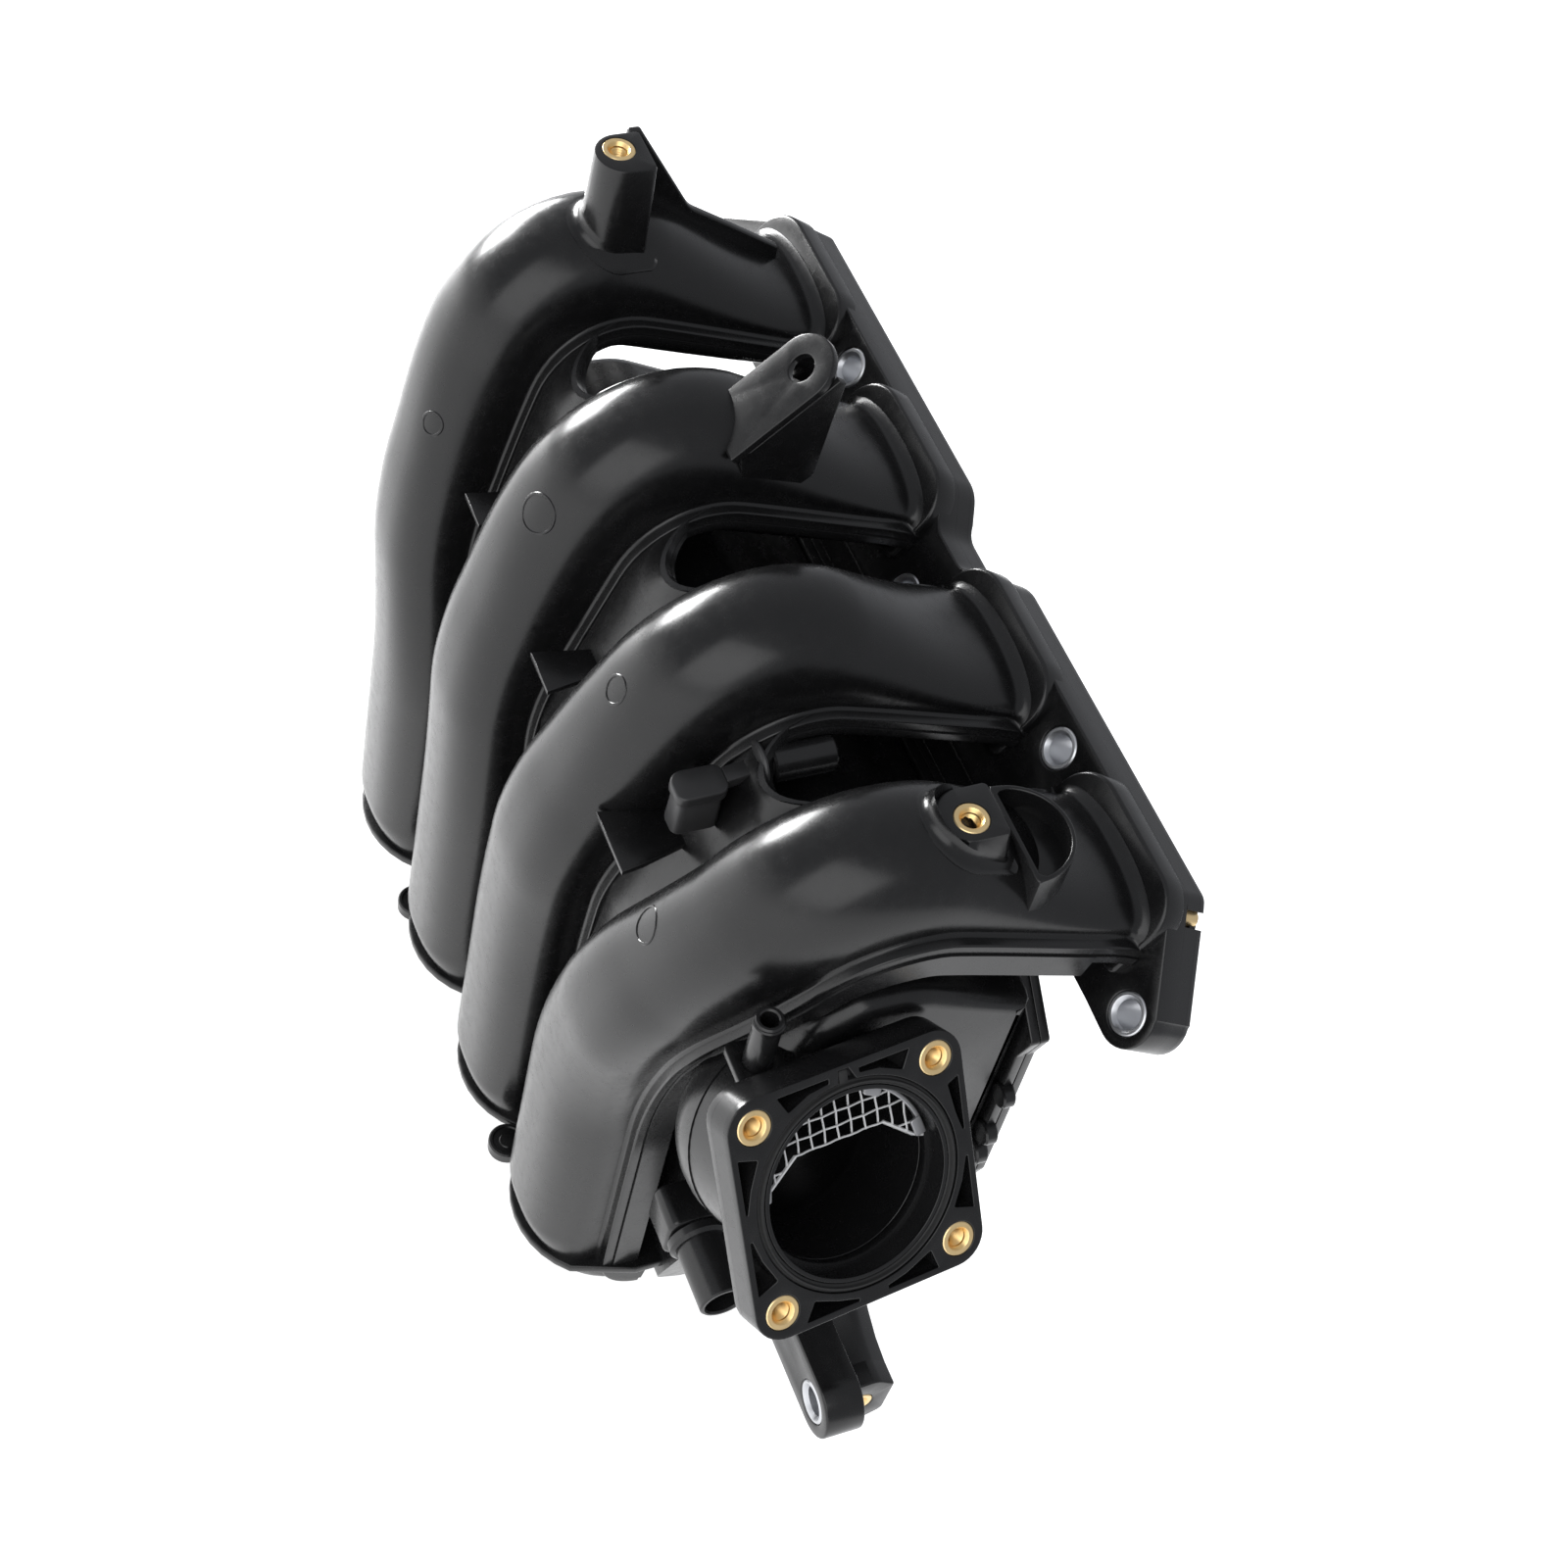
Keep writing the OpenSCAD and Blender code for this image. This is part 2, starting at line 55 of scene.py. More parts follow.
# ---------------------------------------------------------------------------
# The studio: a pale floor just under the part, a soft pale room and three soft
# boxes. The camera looks down on the throttle end and the backs of the runners.
camera_place = Vector((-0.72149, -0.53404, 0.35985))
camera_right = Vector((0.6744, -0.3678, 0.6403))
camera_up = Vector((-0.1665, 0.7691, 0.6171))
camera_back = camera_right.cross(camera_up)
camera_data = bpy.data.cameras.new("studio_camera")
camera_data.lens = 64.91
camera_data.sensor_width = 36
camera = bpy.data.objects.new("studio_camera", camera_data)
camera.matrix_world = Matrix.Translation(camera_place) @ Matrix(
    (camera_right, camera_up, camera_back)).transposed().to_4x4()
scene.collection.objects.link(camera)
scene.camera = camera
scene.view_settings.view_transform = "Standard"

floor_bm = bmesh.new()
bmesh.ops.create_grid(floor_bm, x_segments=1, y_segments=1, size=6)
bmesh.ops.translate(floor_bm, vec=(0, 0, cad_low.z - 0.0006), verts=floor_bm.verts)
floor_mesh = bpy.data.meshes.new("floor")
floor_bm.to_mesh(floor_mesh)
floor_bm.free()
floor = bpy.data.objects.new("floor", floor_mesh)
scene.collection.objects.link(floor)
paper = bpy.data.materials.new("pale_paper")
paper.use_nodes = True
paper_look = paper.node_tree.nodes["Principled BSDF"]
paper_look.inputs["Base Color"].default_value = (0.86, 0.86, 0.86, 1)
paper_look.inputs["Roughness"].default_value = 0.9
paper_look.inputs["Emission Color"].default_value = (1, 1, 1, 1)
paper_look.inputs["Emission Strength"].default_value = 0.85
paper_look.inputs["Specular IOR Level"].default_value = 0.1
floor_mesh.materials.append(paper)

room = bpy.data.worlds.new("soft_room")
room.use_nodes = True
room.node_tree.nodes["Background"].inputs["Color"].default_value = (0.93, 0.95, 1, 1)
room.node_tree.nodes["Background"].inputs["Strength"].default_value = 0.5
scene.world = room

part_middle = (cad_low + cad_high) / 2
# name, share of camera right, up and back that points at the box, distance, width, height, watts
for name, right, up, back, away, width, height, watts in (
        ("box_top", -0.47, 0.85, -0.24, 0.95, 0.6, 0.24, 19),
        ("box_back", -0.30, 0.50, -0.80, 0.52, 0.10, 0.10, 1.1),
        ("box_front", -0.05, -0.12, 0.97, 1.4, 1.5, 0.9, 8)):
    light_data = bpy.data.lights.new(name, "AREA")
    light_data.shape = "RECTANGLE"
    light_data.size = width
    light_data.size_y = height
    light_data.energy = watts
    light = bpy.data.objects.new(name, light_data)
    toward = (camera_right * right + camera_up * up + camera_back * back).normalized()
    light.location = part_middle + toward * away
    light.visible_camera = False
    light.rotation_mode = "QUATERNION"
    light.rotation_quaternion = toward.to_track_quat("Z", "Y")
    scene.collection.objects.link(light)

# ---------------------------------------------------------------------------
# Outer shell: the upper halves of the four runners, moulded as one piece in
# glass-filled nylon and vibration-welded to the runner body along a flat lip.
# It carries two bosses, a tab, a closed pipe stub and blank mould discs.
lean = math.radians(32.8)
lean_turn = Matrix.Rotation(-lean, 4, "Y")
port_pitch = 87.5
foot_pitch = 60.5
face_angle = math.pi - lean
slope = math.radians(161.7)
fall = math.radians(246)
# Side view of the weld plane: straight runs (length) and left-hand bends (radius, angle)
runner_line = ((18, 0), (60, slope - face_angle), (56, 0), (30, fall - slope), (45, 0),
               (80, math.radians(270) - fall), (139, 0), (16, math.pi / 2))
s_collar = 21
s_flange = 18
s_drop = sum(r * turn if turn else r for r, turn in runner_line[:-1])
s_foot = s_drop + 8 * math.pi


def ease(t):
    t = min(1, max(0, t))
    return t * t * (3 - 2 * t)


def runner_place(s):
    """Height, forward place and heading of the weld plane at distance s from the head face."""
    h, v, heading = math.sin(lean), math.cos(lean), face_angle
    for size, turn in runner_line:
        long = size * turn if turn else size
        part = s if (size, turn) == runner_line[-1] else min(s, long)
        if turn:
            after = heading + part / size
            h += size * (math.sin(after) - math.sin(heading))
            v -= size * (math.cos(after) - math.cos(heading))
            heading = after
        else:
            h += part * math.cos(heading)
            v += part * math.sin(heading)
        s -= part
        if s <= 0:
            break
    return h, v, heading


def runner_pitch(s):
    """Spacing of the runners, which draws in from the ports to the feet."""
    return port_pitch - (port_pitch - foot_pitch) * ease((s - 95) / 170)


def crest(s):
    """Height of a runner's outer half above the weld plane."""
    return (13 + 19.5 * ease((s - s_flange) / 95) - 5.5 * ease((s - 140) / 60)
            - 15 * ease((s - s_drop + 14) / 38))


def belly(s):
    """Depth of a runner's inner half below the weld plane."""
    return 14 + 2 * ease((s - s_flange) / 60) - 3 * ease((s - s_drop) / 20)


def half_width(s):
    """Half the width of a runner, within its lips."""
    return 27.3 - 2.8 * ease((s - s_flange) / 80)


def flare(s, radius):
    """How far a runner spreads where it runs into the collar."""
    d = min(radius, radius - (s - s_collar))
    return radius - math.sqrt(radius * radius - d * d) if d > 0 else 0


def corner(u, n, radius, start, end, steps=4):
    """Points on a rounded corner about (u, n), angles in degrees."""
    return [(u + radius * math.cos(math.radians(start + (end - start) * i / steps)),
             n + radius * math.sin(math.radians(start + (end - start) * i / steps)))
            for i in range(steps + 1)]


def shell_section(wide, high, lip, lip_deep, wall, fillet, full=0.72, arch_steps=30):
    """Closed section of one half-shell: lip, fillet and arch outside, then the same arch inside.
    full is 1 for an elliptic arch and less for a boxier one."""
    edge = 0.7
    outside = [(lip, 0.15)] + corner(lip - edge, lip_deep - edge, edge, 0, 90)
    outside += corner(wide + fillet, lip_deep + fillet, fillet, 270, 180, 5)
    rise = high - lip_deep - fillet
    arch = []
    for i in range(1, arch_steps // 2 + 1):
        a = math.pi * i / arch_steps
        arch.append((wide * math.cos(a) ** full if i < arch_steps / 2 else 0,
                     lip_deep + fillet + rise * math.sin(a) ** (full + 0.06)))
    outside += arch
    outside += [(-u, n) for u, n in reversed(outside[:-1])]
    inside = []
    for i in range(arch_steps // 2 + 1):
        a = math.pi * i * 2 / arch_steps
        inside.append((-(wide - wall) * (1 if math.cos(a) > 0 else -1) * abs(math.cos(a)) ** full,
                       (high - wall) * math.sin(a) ** (full + 0.06)))
    return outside + inside


def drape(bm, rows, columns, place):
    """A grid of rows by columns, with each point moved to place(row, column)."""
    made = bmesh.ops.create_grid(bm, x_segments=rows - 1, y_segments=columns - 1, size=0.5)
    for v in made["verts"]:
        v.co = place(round((v.co.x + 0.5) * (rows - 1)), round((v.co.y + 0.5) * (columns - 1)))
    return made["verts"]


def run_shell(bm, distances, middle, section, up):
    """Carries a closed section along the runner line and caps both ends."""
    rings = []
    for s in distances:
        h, v, heading = runner_place(s)
        out_h, out_v = math.sin(heading) * up, -math.cos(heading) * up
        rings.append([lean_turn @ Vector((h + n * out_h, middle(s) + u, v + n * out_v))
                      for u, n in section(s)])
    count = len(rings[0])
    verts = drape(bm, len(rings), count + 1, lambda i, j: rings[i][j % count])
    bmesh.ops.remove_doubles(bm, verts=verts, dist=0.0005)
    ends = [e for e in bm.edges if e.is_boundary]
    bmesh.ops.holes_fill(bm, edges=ends, sides=0)


def spaced(*stops):
    """Distances along the runner: each stop is (end, step)."""
    found = [stops[0]]
    for end, step in stops[1:]:
        start = found[-1]
        count = max(1, round((end - start) / step))
        found += [start + (end - start) * (i + 1) / count for i in range(count)]
    return found


def placed(h, y, v, *turns):
    """Matrix to a place in the leaning frame, with further turns of (degrees, axis)."""
    made = lean_turn @ Matrix.Translation((h, y, v))
    for degrees, axis in turns:
        made = made @ Matrix.Rotation(math.radians(degrees), 4, axis)
    return made


def join(bm, part, turn):
    """Adds a finished shape to a piece, turned into its place."""
    bmesh.ops.transform(part, matrix=turn, verts=part.verts)
    held = bpy.data.meshes.new("held")
    part.to_mesh(held)
    part.free()
    bm.from_mesh(held)
    bpy.data.meshes.remove(held)


def rounded(corners, steps=6):
    """A closed outline from (x, y, radius) corners."""
    line = []
    for i, (x, y, radius) in enumerate(corners):
        if radius == 0:
            line.append((x, y))
            continue
        here = Vector((x, y))
        before = (Vector(corners[i - 1][:2]) - here).normalized()
        after = (Vector(corners[(i + 1) % len(corners)][:2]) - here).normalized()
        half = before.angle(after) / 2
        middle = here + (before + after).normalized() * (radius / math.sin(half))
        start = here + before * (radius / math.tan(half)) - middle
        end = here + after * (radius / math.tan(half)) - middle
        sweep = math.atan2(start.x * end.y - start.y * end.x, start.dot(end))
        for j in range(steps + 1):
            a = sweep * j / steps
            line.append((middle.x + start.x * math.cos(a) - start.y * math.sin(a),
                         middle.y + start.x * math.sin(a) + start.y * math.cos(a)))
    return line


def ring_line(radius, steps=32, x=0.0, y=0.0, start=0.0, end=360.0):
    """A circle, or an arc that stops short of its end, as an outline."""
    return [(x + radius * math.cos(math.radians(start + (end - start) * i / steps)),
             y + radius * math.sin(math.radians(start + (end - start) * i / steps)))
            for i in range(steps)]


def inset(line, amount):
    """An outline moved towards its inside, or out when the amount is negative."""
    pairs = list(zip(line, line[1:] + line[:1]))
    side = 1 if sum(a[0] * b[1] - b[0] * a[1] for a, b in pairs) > 0 else -1
    moved = []
    for i, (x, y) in enumerate(line):
        before = (Vector((x, y)) - Vector(line[i - 1])).normalized()
        after = (Vector(line[(i + 1) % len(line)]) - Vector((x, y))).normalized()
        out = Vector((-before.y - after.y, before.x + after.x)).normalized()
        far = side * amount / max(0.5, out.dot(Vector((-before.y, before.x))))
        moved.append((x + out.x * far, y + out.y * far))
    return moved


def slab(bm, loops, low, high, turn, soft=(0.5, 0.5), draft=0.0):
    """A plate with rounded rims. The first loop is its outline and the others are holes."""
    part = bmesh.new()
    quarter = [math.radians(a) for a in (0, 30, 60, 90)]
    levels = [(soft[0] * (1 - math.cos(a)), low + soft[0] * (1 - math.sin(a))) for a in quarter[::-1]]
    levels += [(soft[1] * (1 - math.cos(a)) + draft, high - soft[1] * (1 - math.sin(a))) for a in quarter]
    if not soft[0]:
        levels = levels[3:]
    if not soft[1]:
        levels = levels[:-3]
    for index, loop in enumerate(loops):
        rings = [inset(loop, amount if index == 0 else -amount) for amount, z in levels]
        drape(part, len(levels), len(loop) + 1,
              lambda i, j: Vector((*rings[i][j % len(loop)], levels[i][1])))
    bmesh.ops.remove_doubles(part, verts=part.verts, dist=0.0005)
    for level in (low, high):
        rim = [e for e in part.edges if e.is_boundary
               and abs(e.verts[0].co.z - level) < 1e-4 and abs(e.verts[1].co.z - level) < 1e-4]
        bmesh.ops.triangle_fill(part, use_beauty=True, edges=rim)
    join(bm, part, turn)


def lathe(bm, profile, turn, steps=40):
    """Spins a profile of (radius, height) about local Z."""
    part = bmesh.new()
    ring = [part.verts.new((r, 0, z)) for r, z in profile]
    pairs = list(zip(ring, ring[1:] + ring[:1]))
    if profile[0][0] == 0 and profile[-1][0] == 0:
        pairs.pop()
    edges = [part.edges.new(pair) for pair in pairs]
    bmesh.ops.spin(part, geom=ring + edges, axis=(0, 0, 1), cent=(0, 0, 0), angle=2 * math.pi,
                   steps=steps, use_merge=True, use_duplicate=False)
    bmesh.ops.remove_doubles(part, verts=part.verts, dist=0.0005)
    join(bm, part, turn)


def tube_profile(inner, outer, low, high, soft=0.5, bead=0.0, bead_long=4.0):
    """Closed profile of a pipe with rounded ends, and a bead just below its top end if asked."""
    line = [(inner, low + soft), (inner + soft, low), (outer - soft, low), (outer, low + soft)]
    if bead:
        line += [(outer, high - bead_long), (outer + bead, high - bead_long * 0.62),
                 (outer + bead, high - bead_long * 0.38)]
    return line + [(outer, high - soft), (outer - soft, high), (inner + soft, high), (inner, high - soft)]


def rooted(bm, tree, line, place, hollow, hole=None, shrink=0.3, floor=-60.0):
    """An upright post whose foot runs into the surface below it with a hollow curve."""
    part = bmesh.new()
    back = place.inverted()
    down = place.to_3x3() @ Vector((0, 0, -1))
    columns = []
    middle = sum((Vector(p) for p in line), Vector((0, 0))) / len(line)
    for p in line:
        away = (Vector(p) - middle).normalized()
        foot = Vector(p) + away * hollow
        hit = tree.ray_cast(place @ Vector((foot.x, foot.y, 3)), down)[0]
        z = max(floor, (back @ hit).z) if hit else floor
        column = [(-0.9, 0.0), (-0.25, -0.25), (0.0, -0.9), (shrink, z + hollow + 0.5)]
        for a in (0, 18, 36, 54, 72, 90):
            a = math.radians(a)
            column.append((shrink + hollow * (1 - math.cos(a)), z + hollow * (1 - math.sin(a))))
        column.append((shrink + hollow - 1, z - 2.5))
        columns.append([Vector((p[0] + away.x * out, p[1] + away.y * out, high)) for out, high in column])
    drape(part, len(columns[0]), len(line) + 1, lambda i, j: columns[j % len(line)][i])
    bmesh.ops.remove_doubles(part, verts=part.verts, dist=0.0005)
    rims = [e for e in part.edges if e.is_boundary]
    top = [e for e in rims if e.verts[0].co.z > -0.01 and e.verts[1].co.z > -0.01]
    bmesh.ops.holes_fill(part, edges=[e for e in rims if e not in top], sides=0)
    if hole:
        depth = ((0.0, 0.0), (0.0, -13.0))
        drape(part, 2, len(hole) + 1, lambda i, j: Vector((*hole[j % len(hole)], depth[i][1])))
        bmesh.ops.remove_doubles(part, verts=part.verts, dist=0.0005)
        bottom = [e for e in part.edges if e.is_boundary and e.verts[0].co.z < -1]
        bmesh.ops.holes_fill(part, edges=bottom, sides=0)
        top = [e for e in part.edges if e.is_boundary]
    bmesh.ops.triangle_fill(part, use_beauty=True, edges=top)
    join(bm, part, place)


def finish_piece(bm, name, material, crisp=32):
    """Turns millimetres into metres, points the faces outwards and keeps edges above crisp degrees sharp."""
    bmesh.ops.recalc_face_normals(bm, faces=bm.faces)
    bmesh.ops.scale(bm, vec=(0.001, 0.001, 0.001), verts=bm.verts)
    mesh = bpy.data.meshes.new(name)
    for face in bm.faces:
        face.smooth = True
    bm.to_mesh(mesh)
    bm.free()
    mesh.set_sharp_from_angle(angle=math.radians(crisp))
    mesh.materials.append(material)
    piece = bpy.data.objects.new(name, mesh)
    scene.collection.objects.link(piece)
    return piece


def node_at(tree, kind, place, **settings):
    node = tree.nodes.new(kind)
    node.location = place
    for key, value in settings.items():
        setattr(node, key, value)
    return node


# Fine moulded grain, slow waves left by cooling, and rubbed edges, used by every finish
surface_marks = bpy.data.node_groups.new("surface_marks", "ShaderNodeTree")
for name, kind, start in (("Grain Scale", "NodeSocketFloat", 2600), ("Wave Scale", "NodeSocketFloat", 45),
                          ("Grain", "NodeSocketFloat", 0.3), ("Wave", "NodeSocketFloat", 1.0)):
    socket = surface_marks.interface.new_socket(name, in_out="INPUT", socket_type=kind)
    socket.default_value = start
for name in ("Height", "Cloud", "Rub"):
    surface_marks.interface.new_socket(name, in_out="OUTPUT", socket_type="NodeSocketFloat")
given = node_at(surface_marks, "NodeGroupInput", (-900, 0))
put = node_at(surface_marks, "NodeGroupOutput", (500, 0))
space = node_at(surface_marks, "ShaderNodeTexCoord", (-900, -300))
grain = node_at(surface_marks, "ShaderNodeTexNoise", (-600, 200))
grain.inputs["Detail"].default_value = 3
wave = node_at(surface_marks, "ShaderNodeTexNoise", (-600, -100))
wave.inputs["Detail"].default_value = 2
cloud = node_at(surface_marks, "ShaderNodeTexNoise", (-600, -400))
cloud.inputs["Scale"].default_value = 210
cloud.inputs["Detail"].default_value = 6
cloud.inputs["Roughness"].default_value = 0.65
grain_share = node_at(surface_marks, "ShaderNodeMath", (-350, 200), operation="MULTIPLY")
wave_share = node_at(surface_marks, "ShaderNodeMath", (-350, -100), operation="MULTIPLY")
both = node_at(surface_marks, "ShaderNodeMath", (-100, 100), operation="ADD")
shape = node_at(surface_marks, "ShaderNodeNewGeometry", (-350, -500))
rub = node_at(surface_marks, "ShaderNodeMapRange", (-100, -500))
rub.inputs["From Min"].default_value = 0.52
rub.inputs["From Max"].default_value = 0.60
for a, b in ((space.outputs["Object"], grain.inputs["Vector"]),
             (space.outputs["Object"], wave.inputs["Vector"]),
             (space.outputs["Object"], cloud.inputs["Vector"]),
             (given.outputs["Grain Scale"], grain.inputs["Scale"]),
             (given.outputs["Wave Scale"], wave.inputs["Scale"]), (grain.outputs["Fac"], grain_share.inputs[0]),
             (given.outputs["Grain"], grain_share.inputs[1]), (wave.outputs["Fac"], wave_share.inputs[0]),
             (given.outputs["Wave"], wave_share.inputs[1]), (grain_share.outputs[0], both.inputs[0]),
             (wave_share.outputs[0], both.inputs[1]), (both.outputs[0], put.inputs["Height"]),
             (cloud.outputs["Fac"], put.inputs["Cloud"]), (shape.outputs["Pointiness"], rub.inputs["Value"]),
             (rub.outputs["Result"], put.inputs["Rub"])):
    surface_marks.links.new(a, b)


def marked_finish(name, base, light, rough, grain_scale, grain, wave_scale, wave, bump, metallic=0.0):
    """A finish whose colour and gloss vary with the surface marks. rough is (low, high)."""
    material = bpy.data.materials.new(name)
    material.use_nodes = True
    tree = material.node_tree
    look = tree.nodes["Principled BSDF"]
    look.inputs["Metallic"].default_value = metallic
    look.inputs["Specular IOR Level"].default_value = 0.42
    marks = node_at(tree, "ShaderNodeGroup", (-900, 0), node_tree=surface_marks)
    marks.inputs["Grain Scale"].default_value = grain_scale
    marks.inputs["Grain"].default_value = grain
    marks.inputs["Wave Scale"].default_value = wave_scale
    marks.inputs["Wave"].default_value = wave
    tint = node_at(tree, "ShaderNodeMix", (-550, 200), data_type="RGBA")
    tint.inputs["A"].default_value = (*base, 1)
    tint.inputs["B"].default_value = (*light, 1)
    share = node_at(tree, "ShaderNodeMath", (-750, 250), operation="MULTIPLY_ADD")
    share.inputs[1].default_value = 0.35
    gloss = node_at(tree, "ShaderNodeMapRange", (-550, -100))
    gloss.inputs["From Min"].default_value = 0.3
    gloss.inputs["From Max"].default_value = 0.7
    gloss.inputs["To Min"].default_value = rough[0]
    gloss.inputs["To Max"].default_value = rough[1]
    relief = node_at(tree, "ShaderNodeBump", (-350, -300))
    relief.inputs["Strength"].default_value = 1
    relief.inputs["Distance"].default_value = bump
    for a, b in ((marks.outputs["Cloud"], share.inputs[0]), (marks.outputs["Rub"], share.inputs[2]),
                 (share.outputs[0], tint.inputs["Factor"]),
                 (tint.outputs["Result"], look.inputs["Base Color"]),
                 (marks.outputs["Cloud"], gloss.inputs["Value"]),
                 (gloss.outputs["Result"], look.inputs["Roughness"]),
                 (marks.outputs["Height"], relief.inputs["Height"]),
                 (relief.outputs["Normal"], look.inputs["Normal"])):
        tree.links.new(a, b)
    return material


nylon = marked_finish("black_nylon", (0.0035, 0.0035, 0.0037), (0.012, 0.012, 0.0124), (0.21, 0.30),
                      2600, 0.05, 30, 1.0, 0.00012)

shell_stops = spaced(s_collar - 2, (s_collar, 1), (s_collar + 5, 0.7), (60, 4), (s_drop - 20, 3.5),
                     (s_drop + 22, 2))
outer_bm = bmesh.new()
for k in range(4):
    run_shell(outer_bm, shell_stops, lambda s: (1.5 - k) * runner_pitch(s),
              lambda s: shell_section(half_width(s) + flare(s, 4), crest(s) + flare(s, 4),
                                      half_width(s) + 4.5, 3.5, 3, 1.5,
                                      0.92 - 0.18 * ease((s - 100) / 90)), 1)
bmesh.ops.recalc_face_normals(outer_bm, faces=outer_bm.faces)
runner_tree = BVHTree.FromBMesh(outer_bm)


def run_web(bm, k, low, high, rim):
    """The sheet between runners k and k + 1, with an arched upper edge, n measured from low to high."""
    part = bmesh.new()
    stops = (0, 1.8, 2.0, 4, 10, 20, 35, 55, 80, 110, 140, 170, 200, 230)

    def point(i, j, n):
        across = j / 16 * 2 - 1
        edge = 97 + 22 * math.sqrt(max(0.0, 1 - (across * 0.98) ** 2)) ** 1.2
        s = edge + (s_drop - edge) * stops[i] / stops[-1] if i > 3 else edge + stops[i]
        h, v, heading = runner_place(s)
        gap = runner_pitch(s) - 2 * (half_width(s) + 2)
        n = n + rim * (1 - ease((stops[i] - 1.8) / 0.4)) * (1 if n > 0 else -1) * (1 if abs(n) > 1 else 0)
        return lean_turn @ Vector((h + n * math.sin(heading), (1 - k) * runner_pitch(s) + across * gap / 2,
                                   v - n * math.cos(heading)))

    drape(part, len(stops), 17, lambda i, j: point(i, j, low))
    drape(part, len(stops), 17, lambda i, j: point(i, j, high))
    bmesh.ops.bridge_loops(part, edges=[e for e in part.edges if e.is_boundary])
    join(bm, part, Matrix())


for k in range(3):
    run_web(outer_bm, k, 0.15, 2.6, 1.6)
# Thin ribs that brace neighbouring runners across the gaps
for y, wide, h, v in ((73, 15, -146, -6), (0, 17, -147, -6), (-72, 24, -149, -3)):
    slab(outer_bm, [[(-4, wide / 2), (3, wide / 2 - 1), (22, wide / 4), (22, -wide / 4), (3, -wide / 2 + 1),
                     (-4, -wide / 2)]], -1.1, 1.1, placed(h, y, v), soft=(0.4, 0.4))
# Bosses: round on one side and flat on the side towards the engine, each about its insert's hole
far_boss_top = placed(-90.3, 125.6, 95.9)
near_boss_top = placed(-73.7, -133.8, 65.8)
far_boss = rounded([(-9.6, -9.6, 9.5), (8.9, -9.6, 1.6), (8.9, 9.6, 1.6), (-9.6, 9.6, 9.5)], 9)
rooted(outer_bm, runner_tree, far_boss, far_boss_top, 5,
       hole=ring_line(5.7, 32, -0.9, 1.9), shrink=0.9)
near_boss = rounded([(-9.7, -9.7, 9.6), (10.4, -9.7, 1.6), (10.4, 9.7, 1.6), (-9.7, 9.7, 9.6)], 9)
rooted(outer_bm, runner_tree, near_boss, near_boss_top, 4.5,
       hole=ring_line(5.7, 32, 0.6, -1.7), shrink=1.4, floor=-32)
# Fin behind the far boss and the rail that carries it on to the collar
slab(outer_bm, [rounded([(-84, 60, 2), (-84, 94.2, 1), (-79.5, 94.2, 1.5), (-56.5, 57.5, 14), (-39, 46.5, 8),
                         (-19, 33.5, 1), (-19, 24, 1), (-60, 36, 3)])],
     -139.5, -136.2, placed(0, 0, 0, (90, "X")), soft=(0.7, 0.7))
# Half-round cup beside the near boss, with a straight wall on the boss side
cup_top = placed(-55.5, -136.5, 54)
cup = ring_line(18, 26, 0, 0, -84, 87)
cup += [(1.6, 18), (-1.0, 18.3), (-1.6, 17), (-1.6, -17), (-1.0, -18.3), (1.2, -18)]
hollow = ring_line(16.4, 22, 0, 0, -82, 85) + [(1.4, 15.8), (0.4, 15), (0.4, -15), (1.2, -15.8)]
slab(outer_bm, [cup, hollow], -24, 0, cup_top, soft=(0, 0.7))
slab(outer_bm, [inset(cup, 0.8)], -26, -9, cup_top, soft=(0, 0.3))
# Tab with a round end on the second runner, and the gusset under its near edge
tab = rounded([(-7, -12, 1), (28, -12, 0), (28, 12, 0), (-7, 12, 1)], 3)[:4]
tab += ring_line(12, 24, 28, 0, -90, 90) + [(28, 12), (-6, 12), (-7, 11)]
slab(outer_bm, [tab, ring_line(4.8, 28, 28, 0)], -1.5, 1.5, placed(-81, 32, 62, (-45, "Y")), soft=(0.5, 0.5))
slab(outer_bm, [[(-83, 58), (-79.5, 60.5), (-54, 86), (-51.5, 84.5), (-55, 44), (-62, 38), (-80, 42)]],
     -23.2, -20.6, placed(0, 0, 0, (90, "X")), soft=(0.4, 0.4))
# Closed pipe stub beside the third runner
stub_turn = placed(-109, -76, 27, (90, "Y"))
lathe(outer_bm, tube_profile(4, 6, 3, 24, 0.7), stub_turn)
# Blank rings left by the mould, which follow the skin
for spot, radius in (((-158, 100, 12), 4.5), ((-144, 34, 32), 7), ((-139.5, -34, 22), 5),
                     ((-152.7, -105, 0), 6.3)):
    found, normal = runner_tree.ray_cast(lean_turn @ Vector(spot) + camera_back * 50, -camera_back)[:2]
    ring = bmesh.new()
    lathe(ring, [(radius, -1.2), (radius, 0.12), (radius - 0.25, 0.35), (radius - 0.75, 0.35),
                 (radius - 1, 0.12), (radius - 1, -1.2)],
          Matrix.Translation(found) @ normal.to_track_quat("Z", "Y").to_matrix().to_4x4(), 48)
    for v in ring.verts:
        rise = normal * (v.co - found).dot(normal)
        v.co = runner_tree.ray_cast(v.co - rise + normal * 10, -normal)[0] + rise
    join(outer_bm, ring, Matrix())
outer_shell = finish_piece(outer_bm, "outer_shell_skin", nylon)
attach(outer_shell, "root")
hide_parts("outer_shell")

